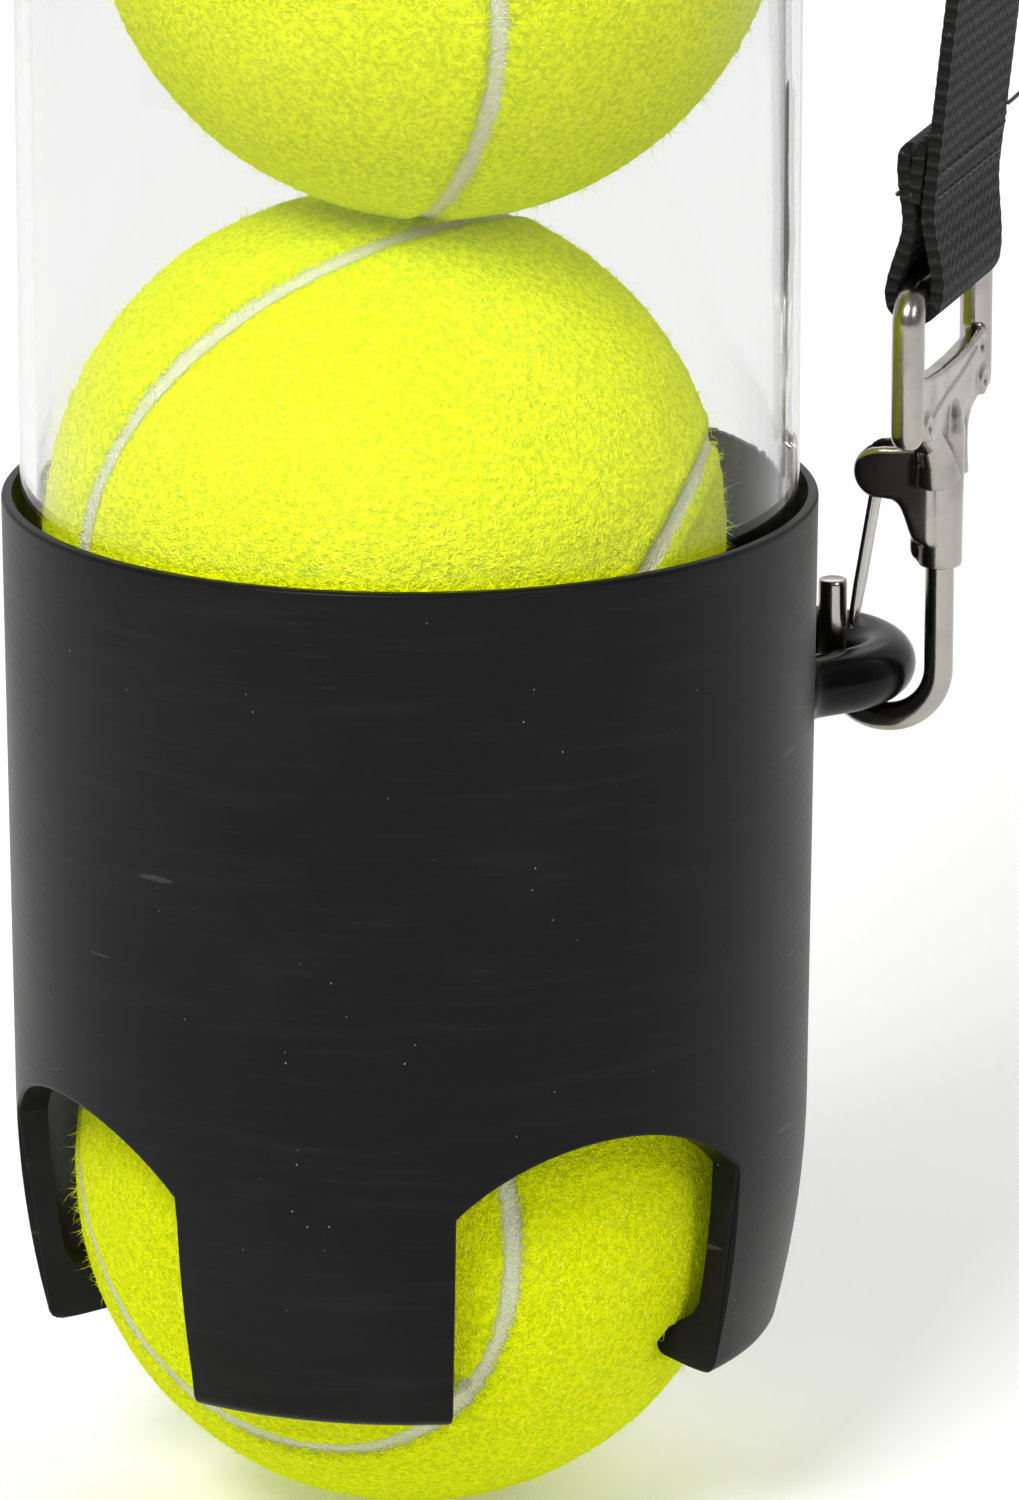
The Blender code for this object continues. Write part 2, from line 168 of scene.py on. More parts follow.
class Nodes:
    """A shader node tree, and the one way of adding to it."""

    def __init__(self, tree: bpy.types.NodeTree) -> None:
        """Wraps a tree."""
        self.tree = tree

    def node(
        self,
        kind: str,
        settings: dict[str, object] | None = None,
        inputs: dict[int | str, object] | None = None,
    ) -> bpy.types.Node:
        """Adds a node.

        Args:
            kind: the node's type.
            settings: its properties, which are set first.
            inputs: values or links for its sockets, by name or number.

        Returns:
            The new node.
        """
        made = self.tree.nodes.new(kind)
        for name, setting in (settings or {}).items():
            setattr(made, name, setting)
        self.feed(made, inputs or {})
        return made

    def feed(self, node: bpy.types.Node, inputs: dict[int | str, object]) -> None:
        """Sets or links sockets of a node.

        Args:
            node: the node that takes them.
            inputs: values or links, by the socket's name or number.
        """
        for name, given in inputs.items():
            if isinstance(given, Value):
                self.tree.links.new(given.socket, node.inputs[name])
            elif isinstance(given, bpy.types.NodeSocket):
                self.tree.links.new(given, node.inputs[name])
            else:
                node.inputs[name].default_value = given


class Paint(Nodes):
    """One material, written as a Principled shader and the nodes that feed it."""

    def __init__(self, name: str) -> None:
        """Makes a material and takes its Principled shader.

        Args:
            name: the material's name.
        """
        self.material = bpy.data.materials.new(name)
        self.material.use_nodes = True
        super().__init__(self.material.node_tree)
        self.shader = self.tree.nodes["Principled BSDF"]
        self.output = self.tree.nodes["Material Output"]

    def dress(self, inputs: dict[int | str, object]) -> None:
        """Sets or links the shader's own sockets."""
        self.feed(self.shader, inputs)

    def place(self, scale: Sequence[float] = (1, 1, 1)) -> bpy.types.NodeSocket:
        """The piece's Object coordinates, scaled."""
        source = self.node("ShaderNodeTexCoord").outputs["Object"]
        return self.node("ShaderNodeMapping", None, {"Vector": source, "Scale": tuple(scale)}).outputs[0]

    def attribute(self, name: str) -> Value:
        """A number that the mesh holds at each point."""
        return Value(self, self.node("ShaderNodeAttribute", {"attribute_name": name}).outputs["Fac"])

    def grain(self, where: bpy.types.NodeSocket, scale: float, detail: float = 2.0) -> Value:
        """Noise of a given fineness.

        Args:
            where: the coordinates it reads.
            scale: features to a metre.
            detail: how many finer layers it adds.

        Returns:
            A value that averages 0.5.
        """
        inputs = {"Vector": where, "Scale": scale, "Detail": detail}
        return Value(self, self.node("ShaderNodeTexNoise", None, inputs).outputs[0])

    def spots(self, where: bpy.types.NodeSocket, scale: float) -> Value:
        """The distance to the nearest of many scattered points."""
        inputs = {"Vector": where, "Scale": scale}
        return Value(self, self.node("ShaderNodeTexVoronoi", None, inputs).outputs[0])

    def blend(
        self, share: Value, first: Colour | bpy.types.NodeSocket, second: Colour
    ) -> bpy.types.NodeSocket:
        """Mixes two colours.

        Args:
            share: 0 for the first, 1 for the second.
            first: a colour, or the result of another mix.
            second: a colour.

        Returns:
            The mixed colour's socket.
        """
        start = first if isinstance(first, bpy.types.NodeSocket) else (*first, 1.0)
        inputs = {0: share, 6: start, 7: (*second, 1.0)}
        return self.node("ShaderNodeMix", {"data_type": "RGBA"}, inputs).outputs[2]

    def relief(self, height: Value, depth: float, strength: float = 1.0) -> None:
        """Feeds the shader's normal with a bump.

        Args:
            height: the relief, from 0 to 1.
            depth: how deep 1 is, in metres.
            strength: how much of it shows.
        """
        bump = self.node("ShaderNodeBump", None, {"Height": height, "Distance": depth, "Strength": strength})
        self.dress({"Normal": bump.outputs[0]})


# ---------------------------------------------------------------------------------------------
# Finishes
# ---------------------------------------------------------------------------------------------


@dataclass(frozen=True)
class Felt:
    """Optic yellow ball felt with a pale rubber seam."""

    nap: Colour = (0.86, 0.94, 0.0015)
    # The painted shade colour for the gaps in the felt and the groove beside the seam.
    shadow: Colour = (0.46, 0.62, 0.001)
    # The colour of the painted glints: pale flecks where fibres would catch the light.
    painted_glint: Colour = (1.0, 1.0, 0.09)
    seam: Colour = (0.68, 0.70, 0.55)
    seam_half: float = 0.00078
    glow: float = 0.08

    def material(self) -> bpy.types.Material:
        """Writes the felt.

        Returns:
            A material that reads the seam attribute, the distance to the seam in metres.
        """
        paint = Paint("yellow_felt")
        where = paint.place()
        curls = paint.grain(where, 1500.0, 4.0)
        fine = paint.grain(where, 4600.0, 2.0)
        cloud = paint.grain(where, 60.0, 3.0)
        # Painted glints: tiny pale flecks, as if single fibres caught the light.
        painted_glint = paint.grain(where, 2300.0, 1.0).ramp(0.64, 0.71)
        ragged = paint.attribute("seam") + (fine - 0.5) * 0.0008 + (curls - 0.5) * 0.0010
        ragged = ragged + (paint.grain(where, 130.0, 1.0) - 0.5) * 0.0011
        seam = ragged.ramp(self.seam_half * 1.5, self.seam_half * 0.6)
        # Painted shade: edge darkens a band in the groove beside the seam, and depth the gaps between fibre
        # clumps; both blend towards the shadow colour.
        edge = (abs(ragged - self.seam_half * 1.7)).ramp(self.seam_half, 0.0)
        depth = (curls * 0.6 + fine * 0.4).ramp(0.60, 0.38)
        colour = paint.blend(depth * 0.62 + edge * 0.22, self.nap, self.shadow)
        # A random paler cloud, blended a little towards the painted glint colour.
        colour = paint.blend(cloud.ramp(0.45, 0.75) * 0.10, colour, self.painted_glint)
        colour = paint.blend(painted_glint * 0.75, colour, self.painted_glint)
        colour = paint.blend(seam * (0.75 + fine * 0.3), colour, self.seam)
        paint.dress({
            "Base Color": colour,
            "Roughness": 0.92,
            "Emission Color": colour,
            "Emission Strength": self.glow,
            "Sheen Weight": 0.12,
            "Sheen Roughness": 0.45,
            "Sheen Tint": (0.92, 1.0, 0.10, 1.0),
            "Specular IOR Level": 0.05,
        })
        paint.relief(curls * 0.6 + fine * 0.4 - seam * 0.25, 0.0010, 1.0)
        return paint.material


@dataclass(frozen=True)
class FeltFuzz:
    """The loose fibres that stand off the felt."""

    colour: Colour = (0.86, 0.96, 0.006)
    glow: float = 0.10

    def material(self) -> bpy.types.Material:
        """Writes the fibres' finish, a little paler and dustier in places.

        Returns:
            The fibres' material.
        """
        paint = Paint("felt_fibres")
        pale = paint.grain(paint.place(), 420.0, 2.0).ramp(0.50, 0.72)
        colour = paint.blend(pale * 0.5, self.colour, (0.98, 1.0, 0.16))
        paint.dress({
            "Base Color": colour,
            "Roughness": 0.80,
            "Emission Color": colour,
            "Emission Strength": self.glow,
            "Specular IOR Level": 0.08,
        })
        return paint.material


@dataclass(frozen=True)
class ClearPlastic:
    """Clear extruded tube: smooth, faintly grey, with drawn lines along it."""

    tint: Colour = (0.905, 0.905, 0.905)
    ior: float = 1.25

    def material(self) -> bpy.types.Material:
        """Writes a glass that lets the lamps' light through to what it holds.

        Returns:
            The tube's material.
        """
        paint = Paint("clear_plastic")
        lines = paint.grain(paint.place((1.0, 1.0, 0.02)), 700.0, 2.0)
        haze = paint.grain(paint.place(), 55.0, 3.0)
        paint.dress({
            "Base Color": (*self.tint, 1.0),
            "Roughness": haze.ramp(0.45, 0.85) * 0.05 + 0.015,
            "IOR": self.ior,
            "Transmission Weight": 1.0,
        })
        paint.relief(lines, 0.00004, 0.25)
        open_air = paint.node("ShaderNodeBsdfTransparent", None, {"Color": (*self.tint, 1.0)})
        ray = paint.node("ShaderNodeLightPath")
        lamps = ray.outputs["Is Shadow Ray"]
        inputs = {0: lamps, 1: paint.shader.outputs[0], 2: open_air.outputs[0]}
        mixed = paint.node("ShaderNodeMixShader", None, inputs)
        paint.feed(paint.output, {"Surface": mixed.outputs[0]})
        return paint.material


@dataclass(frozen=True)
class MouldedBlack:
    """Semi-matt black moulding with faint lines round it, dust and a little handling wear."""

    name: str = "black_moulding"
    colour: Colour = (0.0052, 0.0050, 0.0052)
    # On the moulding this colour is handling wear.
    wear_and_highlight: Colour = (0.019, 0.018, 0.019)
    roughness: float = 0.38
    line_depth: float = 0.00003
    shine: float = 0.12

    def material(self) -> bpy.types.Material:
        """Writes the moulding's finish.

        Returns:
            The moulding's material.
        """
        paint = Paint(self.name)
        where = paint.place()
        rings = paint.grain(paint.place((0.06, 0.06, 1.0)), 2600.0, 3.0)
        bands = paint.grain(paint.place((0.10, 0.10, 1.0)), 520.0, 2.0)
        skin = paint.grain(where, 3000.0, 2.0)
        cloud = paint.grain(where, 38.0, 3.0)
        dust = paint.spots(where, 520.0).ramp(0.055, 0.030) * paint.grain(where, 90.0, 1.0).ramp(0.52, 0.60)
        scratch = paint.grain(paint.place((0.12, 0.12, 1.0)), 620.0, 1.0).ramp(0.765, 0.785)
        wear_and_highlight = cloud.ramp(0.42, 0.78) * 0.30 + bands.ramp(0.50, 0.75) * 0.22 + rings.ramp(0.55, 0.78) * 0.20
        colour = paint.blend(wear_and_highlight, self.colour, self.wear_and_highlight)
        colour = paint.blend(scratch * 0.30, colour, (0.10, 0.10, 0.10))
        colour = paint.blend(dust * 0.75, colour, (0.40, 0.39, 0.38))
        rough = (cloud - 0.5) * 0.14 + (rings - 0.5) * 0.10 + dust * 0.3 + self.roughness
        paint.dress({"Base Color": colour, "Roughness": rough, "Specular IOR Level": self.shine})
        paint.relief(rings * 0.6 + skin * 0.4, self.line_depth, 0.8)
        return paint.material


@dataclass(frozen=True)
class NickelPlate:
    """Bright nickel on pressed steel, slightly uneven, duller in places."""

    colour: Colour = (0.40, 0.378, 0.345)
    dull: Colour = (0.21, 0.198, 0.178)
    roughness: float = 0.17

    def material(self) -> bpy.types.Material:
        """Writes the plating.

        Returns:
            The plated steel's material.
        """
        paint = Paint("nickel_plate")
        where = paint.place()
        wave = paint.grain(where, 210.0, 2.0)
        grain = paint.grain(where, 2400.0, 3.0)
        pits = paint.spots(where, 900.0).ramp(0.10, 0.04)
        colour = paint.blend(wave.ramp(0.45, 0.75) * 0.45 + pits * 0.25, self.colour, self.dull)
        rough = wave.ramp(0.40, 0.80) * 0.12 + grain * 0.08 + self.roughness - 0.04
        paint.dress({"Base Color": colour, "Metallic": 1.0, "Roughness": rough})
        paint.relief(wave * 0.6 + grain * 0.4 - pits * 0.2, 0.00006, 0.35)
        return paint.material


@dataclass(frozen=True)
class Webbing:
    """Black woven strap: ribs across it, slanted picks and a firm selvedge."""

    width: float = 0.025
    pitch: float = 0.00145
    colour: Colour = (0.006, 0.006, 0.006)
    # The lighter colour painted on the raised threads as a highlight.
    wear_and_highlight: Colour = (0.036, 0.036, 0.037)

    def material(self) -> bpy.types.Material:
        """Writes the weave on the strap's own map, whose u runs across and v along, in metres.

        Returns:
            The webbing's material.
        """
        paint = Paint("black_webbing")
        chart = paint.node("ShaderNodeUVMap", {"uv_map": "weave"}).outputs[0]
        split = paint.node("ShaderNodeSeparateXYZ", None, {0: chart})
        across, along = Value(paint, split.outputs[0]), Value(paint, split.outputs[1])
        columns = across * (1.35 / self.pitch)
        side = (columns * 0.5).fraction().ramp(0.48, 0.52)
        slant = (columns.fraction() - 0.5) * (side * 2.0 - 1.0)
        turns = (along * (1 / self.pitch) + slant * 0.40 + side * 0.12) * math.tau
        picks = turns.wave() * 0.5 + 0.5
        warp = (columns * math.tau).wave() * 0.5 + 0.5
        stretched = paint.node("ShaderNodeMapping", None, {"Vector": chart, "Scale": (3, 1, 1)})
        thread = paint.grain(stretched.outputs[0], 5200.0, 2.0)
        weave = picks * 0.72 + (1 - warp) * 0.28
        lint = paint.grain(paint.place(), 1500.0, 1.0).ramp(0.66, 0.74)
        # The raised threads are painted lighter as a highlight, and the grooves between them stay dark.
        colour = paint.blend(weave.ramp(0.50, 0.95) * 0.8 * (0.3 + thread), self.colour, self.wear_and_highlight)
        colour = paint.blend(lint * weave * 0.55, colour, (0.17, 0.17, 0.18))
        paint.dress({
            "Base Color": colour,
            "Roughness": 0.78 - weave * 0.14,
            "Sheen Weight": 0.04,
            "Sheen Roughness": 0.5,
            "Specular IOR Level": 0.20,
        })
        paint.relief(weave * 0.8 + thread * 0.2, 0.00062, 1.0)
        return paint.material


@dataclass(frozen=True)
class SewingThread:
    """Twisted black thread that catches the light, with a painted highlight along its twist."""

    def material(self) -> bpy.types.Material:
        """Writes the thread's finish.

        Returns:
            The thread's material.
        """
        paint = Paint("sewing_thread")
        twist = paint.grain(paint.place((1.0, 1.0, 2.5)), 2600.0, 2.0)
        # Lighter bands along the twist: a painted highlight.
        colour = paint.blend(twist.ramp(0.35, 0.70), (0.020, 0.020, 0.022), (0.085, 0.085, 0.090))
        paint.dress({"Base Color": colour, "Roughness": 0.55})
        paint.relief(twist, 0.0001, 0.7)
        return paint.material


@dataclass(frozen=True)
class StudioFloor:
    """A pale, even floor."""

    colour: Colour = (0.93, 0.93, 0.93)
    glow: float = 0.15

    def material(self) -> bpy.types.Material:
        """Writes the floor's finish.

        Returns:
            The floor's material.
        """
        paint = Paint("studio_floor")
        tone = paint.grain(paint.place(), 6.0, 2.0)
        colour = paint.blend(tone * 0.02, self.colour, (0.90, 0.90, 0.90))
        paint.dress({
            "Base Color": colour,
            "Roughness": 0.9,
            "Specular IOR Level": 0.1,
            "Emission Color": colour,
            "Emission Strength": self.glow,
        })
        return paint.material


class Slot(Enum):
    """The record's material slots."""

    CLEAR = "clear_plastic"
    BLACK = "black_plastic"
    FELT = "yellow_felt"
    STEEL = "nickel_steel"
    STRAP = "black_webbing"


# ---------------------------------------------------------------------------------------------
# Shaping
# ---------------------------------------------------------------------------------------------


def arc(centre: Point, radius: float, start: float, end: float, steps: int) -> list[Point]:
    """Points along an arc in a plane.

    Args:
        centre: the arc's centre.
        radius: its radius.
        start: the first point's angle in degrees.
        end: the last point's angle in degrees.
        steps: how many chords it has.

    Returns:
        steps + 1 points, both ends included.
    """
    angles = [math.radians(start + (end - start) * i / steps) for i in range(steps + 1)]
    return [(centre[0] + radius * math.cos(a), centre[1] + radius * math.sin(a)) for a in angles]


def lathe(profile: Sequence[Point], steps: int, closed: bool = True) -> bmesh.types.BMesh:
    """Spins a profile of (radius, z) points a full turn about the tube's axis.

    Args:
        profile: the points, in order.
        steps: how many facets the turn has.
        closed: whether the last point joins the first. An open one starts and ends on the axis.

    Returns:
        The turned shape.
    """
    shape = bmesh.new()
    points = [shape.verts.new((r, 0, z)) for r, z in profile]
    pairs = list(zip(points, points[1:])) + ([(points[-1], points[0])] if closed else [])
    edges = [shape.edges.new(pair) for pair in pairs]
    bmesh.ops.spin(
        shape, geom=points + edges, cent=(0, 0, 0), axis=(0, 0, 1), angle=math.tau, steps=steps,
        use_merge=True
    )
    bmesh.ops.remove_doubles(shape, verts=shape.verts, dist=1e-7)
    bmesh.ops.recalc_face_normals(shape, faces=shape.faces)
    return shape


def sweep(
    shape: bmesh.types.BMesh,
    route: Sequence[Vector],
    section: Callable[[int], tuple[float, float]],
    sides: int,
    side: Vector,
) -> None:
    """Adds a closed rod of elliptic section along a route.

    Args:
        shape: the bmesh that takes it.
        route: the middle of each section.
        section: gives the half-widths of section i, along side and across it.
        sides: how many facets the rod has.
        side: a direction square to the route's plane, or close to it.
    """
    rings = []
    for i, point in enumerate(route):
        along = (route[min(i + 1, len(route) - 1)] - route[max(i - 1, 0)]).normalized()
        across = along.cross(side).normalized()
        wide, thick = section(i)
        turn = Matrix((across.cross(along) * wide, across * thick, along)).transposed().to_4x4()
        made = bmesh.ops.create_circle(
            shape, cap_ends=False, radius=1.0, segments=sides, matrix=Matrix.Translation(point) @ turn
        )
        rings.append(list({e for v in made["verts"] for e in v.link_edges}))
    for first, second in zip(rings, rings[1:]):
        bmesh.ops.bridge_loops(shape, edges=first + second)
    for end in (rings[0], rings[-1]):
        bmesh.ops.contextual_create(shape, geom=end)


def rod(shape: bmesh.types.BMesh, route: Sequence[Vector], radius: float, sides: int, side: Vector) -> None:
    """Adds a closed rod of round section along a route."""
    sweep(shape, route, lambda _: (radius, radius), sides, side)


def plate(
    shape: bmesh.types.BMesh, outline: Sequence[Vector], through: Vector, edge: float, segments: int = 2
) -> None:
    """Adds a flat plate with eased edges.

    Args:
        shape: the bmesh that takes it.
        outline: the corners of its middle plane, in order.
        through: its full thickness, as a vector.
        edge: how far its edges are eased.
        segments: how round the easing is.
    """
    corners = [shape.verts.new(p - through / 2) for p in outline]
    face = shape.faces.new(corners)
    grown = bmesh.ops.extrude_face_region(shape, geom=[face])["geom"]
    moved = [v for v in grown if isinstance(v, bmesh.types.BMVert)]
    bmesh.ops.translate(shape, verts=moved, vec=through)
    ends = {e for v in corners + moved for e in v.link_edges}
    if edge:
        bmesh.ops.bevel(
            shape, geom=list(ends), offset=edge, segments=segments, profile=0.5, affect="EDGES", material=-1
        )


def to_object(name: str, shape: bmesh.types.BMesh, turn_normals: bool = True) -> bpy.types.Object:
    """Makes a linked object from a bmesh, which it frees.

    Args:
        name: the object's name.
        shape: its shape.
        turn_normals: whether the faces are made to point outwards first.

    Returns:
        The object, at the origin.
    """
    if turn_normals:
        bmesh.ops.recalc_face_normals(shape, faces=shape.faces)
    mesh = bpy.data.meshes.new(name)
    shape.to_mesh(mesh)
    shape.free()
    made = bpy.data.objects.new(name, mesh)
    bpy.context.scene.collection.objects.link(made)
    return made


def settle(piece: bpy.types.Object, sharp: float = 35.0) -> None:
    """Turns a piece's modifiers into its mesh and shades it.

    Args:
        piece: the piece.
        sharp: the angle in degrees above which an edge stays sharp.
    """
    if piece.modifiers:
        graph = bpy.context.evaluated_depsgraph_get()
        mesh = bpy.data.meshes.new_from_object(piece.evaluated_get(graph))
        piece.modifiers.clear()
        piece.data = mesh
    piece.data.shade_smooth()
    piece.data.set_sharp_from_angle(angle=math.radians(sharp))


def boolean(piece: bpy.types.Object, helper: bpy.types.Object, operation: str) -> None:
    """Cuts or joins a piece with a helper, which is then removed.

    Args:
        piece: the piece that is changed.
        helper: the shape that cuts it or joins it.
        operation: the Boolean's operation.
    """
    modifier = piece.modifiers.new("boolean", "BOOLEAN")
    modifier.operation = operation
    modifier.object = helper
    modifier.solver = "EXACT"
    graph = bpy.context.evaluated_depsgraph_get()
    mesh = bpy.data.meshes.new_from_object(piece.evaluated_get(graph))
    piece.modifiers.clear()
    piece.data = mesh
    bpy.data.objects.remove(helper)


def present(
    piece: bpy.types.Object,
    material: bpy.types.Material,
    body: str | None = None,
    replaces: Sequence[str] = (),
) -> bpy.types.Object:
    """Dresses a piece and hands it to its body.

    Args:
        piece: the finished piece.
        material: its finish.
        body: the body that it rides on, or None if it is blended between two.
        replaces: the frame's nodes that it stands for.

    Returns:
        The same piece.
    """
    if not piece.data.materials:
        piece.data.materials.append(material)
    if body:
        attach(piece, body)
    if replaces:
        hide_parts(*replaces)
    log.info("%s: %d faces", piece.name, len(piece.data.polygons))
    return piece


@dataclass(frozen=True)
class Datum:
    """Heights above the fingertips, as z in the frame."""

    tips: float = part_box("finger_1")[0].z

    def z(self, height: float) -> float:
        """The frame's z of a height."""
        return self.tips + height


DATUM = Datum()


# ---------------------------------------------------------------------------------------------
# The tube's ends
# ---------------------------------------------------------------------------------------------


@dataclass(frozen=True)
class PickupCup:
    """The cup that the tube's lower end sits in, with four springy fingers."""

    finish: bpy.types.Material
    steps: int = 176
    rim_height: float = 84.6 * MM
    rim_r: float = 39.95 * MM
    rim_round: float = 0.45 * MM
    socket_r: float = 38.5 * MM
    seat_height: float = 34.6 * MM
    curl_height: float = 24.6 * MM
    curl_top_r: float = 39.3 * MM
    curl_radius: float = 95.0 * MM
    root_height: float = 22.1 * MM
    arch_height: float = 28.6 * MM
    wall: float = 3.0 * MM
    tip_round: float = 1.5 * MM
    lip_r: float = 29.6 * MM
    lip_round: float = 1.5 * MM
    lip_rise: float = 1.0 * MM
    lip_top: float = 6.2 * MM
    notch_half: float = math.radians(23.85)
    edge: float = 0.38 * MM
    cutter_out: float = 4.0 * MM
    cutter_in: float = 14.0 * MM
    flex_length: float = 7.0 * MM
    fingers: int = 4

    def outer_r(self, height: float) -> float:
        """The outside radius at a height: a slight draft, then a curl inwards.

        Args:
            height: the height above the fingertips.

        Returns:
            The radius.
        """
        if height >= self.curl_height:
            share = (height - self.curl_height) / (self.rim_height - self.curl_height)
            return self.curl_top_r + (self.rim_r - self.curl_top_r) * share
        return self.curl_top_r - (self.curl_height - height) ** 2 / (2 * self.curl_radius)

    def inner_r(self, height: float) -> float:
        """The inside radius below the tube's seat."""
        return self.outer_r(min(height, self.curl_height)) - self.wall

    def profile(self) -> list[Point]:
        """The section of the whole moulding.

        Returns:
            (radius, z) points: down the outside, round the lip and up the inside.
        """
        e = self.rim_round
        top = arc((self.rim_r - e, self.rim_height - e), e, 90, 0, 4)
        span = self.rim_height - e - self.tip_round
        heights = [self.rim_height - e - span * i / 30 for i in range(1, 31)]
        outside = [(self.outer_r(h), h) for h in heights]
        t = self.tip_round
        tip = arc((self.outer_r(t) - t, t), t, 0, -90, 4)[1:]
        nose = arc((self.lip_r + self.lip_round, self.lip_rise + self.lip_round), self.lip_round, 250, 80, 8)
        lip_top_r = self.inner_r(self.lip_top)
        slope = [(lip_top_r - 2.2 * MM, 5.0 * MM), (lip_top_r - 0.6 * MM, 6.0 * MM)]
        inside = [(self.inner_r(h * MM), h * MM) for h in (7.4, 10, 13, 16, 19, 22.1, 26, 30)]
        seat = [(self.inner_r(self.seat_height), self.seat_height), (self.socket_r, self.seat_height)]
        mouth = [(self.socket_r, self.rim_height - 1.2 * MM), (self.socket_r + 0.45 * MM, self.rim_height)]
        whole = top + outside + tip + nose + slope + inside + seat + mouth
        return [(r, DATUM.z(h)) for r, h in whole]

    def notch_outline(self, grown: float) -> list[Point]:
        """One notch's outline, unrolled flat.

        Args:
            grown: how far it is set back from the notch's true edge.

        Returns:
            (across, height) points, from the lower left.
        """
        half = self.notch_half * self.curl_top_r
        rise = self.arch_height - self.root_height
        radius = (half**2 + rise**2) / (2 * rise)
        sweep_angle = math.degrees(math.asin((half + grown) / (radius + grown)))
        curve = arc((0, self.arch_height - radius), radius + grown, 90 - sweep_angle, 90 + sweep_angle, 20)
        foot = [(2.6, -3.0), (0.9, -0.2), (0.45, 0.12), (0.15, 0.45), (0.0, 1.1)]
        right = [(half + grown + out * MM, h * MM) for out, h in foot]
        left = [(-across, h) for across, h in reversed(right)]
        return right + curve + left

    def notch_cutter(self, turn: float) -> bpy.types.Object:
        """A wedge that cuts one notch and eases its outer edge.

        Args:
            turn: the notch's angle about the axis.

        Returns:
            The cutter.
        """
        angles = [math.radians(d) for d in (90, 68, 45, 22, 0)]
        easing = [(-self.cutter_out, self.edge * 2.2)]
        easing += [(self.edge * (1 - math.sin(a)), self.edge * (1 - math.cos(a))) for a in angles]
        easing += [(self.cutter_in, 0.0)]

        def put(vert: bmesh.types.BMVert, point: Point, depth: float) -> None:
            """Moves a point of the cutter.

            Args:
                vert: the point.
                point: its place on the unrolled outline.
                depth: how far it lies inside the cup's outer face.
            """
            angle = turn + point[0] / self.curl_top_r
            r = self.outer_r(point[1]) - depth
            vert.co = (r * math.cos(angle), r * math.sin(angle), DATUM.z(point[1]))

        shape = bmesh.new()
        verts = [shape.verts.new() for _ in self.notch_outline(0.0)]
        for vert, point in zip(verts, self.notch_outline(easing[0][1])):
            put(vert, point, easing[0][0])
        face = shape.faces.new(verts)
        for depth, grown in easing[1:]:
            made = bmesh.ops.extrude_face_region(shape, geom=[face, *face.edges])["geom"]
            face = next(f for f in made if isinstance(f, bmesh.types.BMFace))
            before = {v: i for i, v in enumerate(verts)}
            fresh = {next(w for e in v.link_edges for w in e.verts if w in before): v for v in face.verts}
            outline = self.notch_outline(grown)
            for old, new in fresh.items():
                put(new, outline[before[old]], depth)
            verts = [fresh[old] for old in verts]
        bottom = [f for f in shape.faces if len(f.verts) > 4]
        bmesh.ops.triangulate(shape, faces=bottom)
        return to_object("notch_cutter", shape)

    def whole(self) -> bpy.types.Object:
        """The cup and its fingers as one mesh, with the normals it will be split with.

        Returns:
            The whole moulding.
        """
        cup = to_object("pickup_cup_shell", lathe(self.profile(), self.steps))
        for k in range(self.fingers):
            boolean(cup, self.notch_cutter(math.tau * k / self.fingers), "DIFFERENCE")
        settle(cup, 40.0)
        weighted = cup.modifiers.new("flat_faces", "WEIGHTED_NORMAL")
        weighted.keep_sharp = True
        weighted.weight = 90
        graph = bpy.context.evaluated_depsgraph_get()
        cup.data = bpy.data.meshes.new_from_object(cup.evaluated_get(graph))
        cup.modifiers.clear()
        return cup

    def part_of(
        self, source: bpy.types.Object, name: str, keep: Callable[[Vector], bool]
    ) -> bpy.types.Object:
        """Copies the faces of the whole that a test keeps, with their normals.

        Args:
            source: the whole.
            name: the new piece's name.
            keep: the test of a face's centre.

        Returns:
            The closed part.
        """
        shape = bmesh.new()
        shape.from_mesh(source.data)
        kept = shape.loops.layers.float_vector["shading"]
        dropped = [f for f in shape.faces if not keep(f.calc_center_median())]
        bmesh.ops.delete(shape, geom=dropped, context="FACES")
        rims = [e for e in shape.edges if len(e.link_faces) == 1]
        capped = set(bmesh.ops.holes_fill(shape, edges=rims, sides=0)["faces"]) if rims else set()
        for face in capped:
            face.normal_update()
            for loop in face.loops:
                loop[kept] = face.normal
        piece = to_object(name, shape, turn_normals=False)
        mesh = piece.data
        mesh.shade_smooth()
        normals = np.empty(len(mesh.loops) * 3, np.float32)
        mesh.attributes["shading"].data.foreach_get("vector", normals)
        mesh.normals_split_custom_set(normals.reshape(-1, 3).tolist())
        mesh.attributes.remove(mesh.attributes["shading"])
        return piece

    def build(self) -> None:
        """Shapes the cup and the fingers from one moulding, split where the fingers flex."""
        source = self.whole()
        cut = DATUM.z(self.root_height)
        shape = bmesh.new()
        shape.from_mesh(source.data)
        normals = np.empty(len(source.data.loops) * 3, np.float32)
        source.data.corner_normals.foreach_get("vector", normals)
        normals = normals.reshape(-1, 3)
        layer = shape.loops.layers.float_vector.new("shading")
        shape.faces.ensure_lookup_table()
        k = 0
        for face in shape.faces:
            for loop in face.loops:
                loop[layer] = Vector(normals[k])
                k += 1
        bmesh.ops.bisect_plane(
            shape, geom=shape.verts[:] + shape.edges[:] + shape.faces[:], dist=1e-6, plane_co=(0, 0, cut),
            plane_no=(0, 0, 1)
        )
        shape.to_mesh(source.data)
        shape.free()
        cup = self.part_of(source, "pickup_cup_moulding", lambda c: c.z > cut)
        present(cup, self.finish, "tube_frame", ["pickup_cup"])
        for k in range(self.fingers):
            turn = math.tau * (k + 0.5) / self.fingers
            out = Vector((math.cos(turn), math.sin(turn), 0))
            name = f"finger_{k + 1}"
            finger = self.part_of(
                source, f"{name}_moulding", lambda c: c.z < cut and c.dot(out) > abs(c.cross(out).z)
            )
            present(finger, self.finish, None, [name])
            middle = out * self.curl_top_r
            root = middle + Vector((0, 0, cut))
            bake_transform(finger, "tube_frame", name, start=root, end=root - Vector((0, 0, self.flex_length)))
        bpy.data.objects.remove(source)


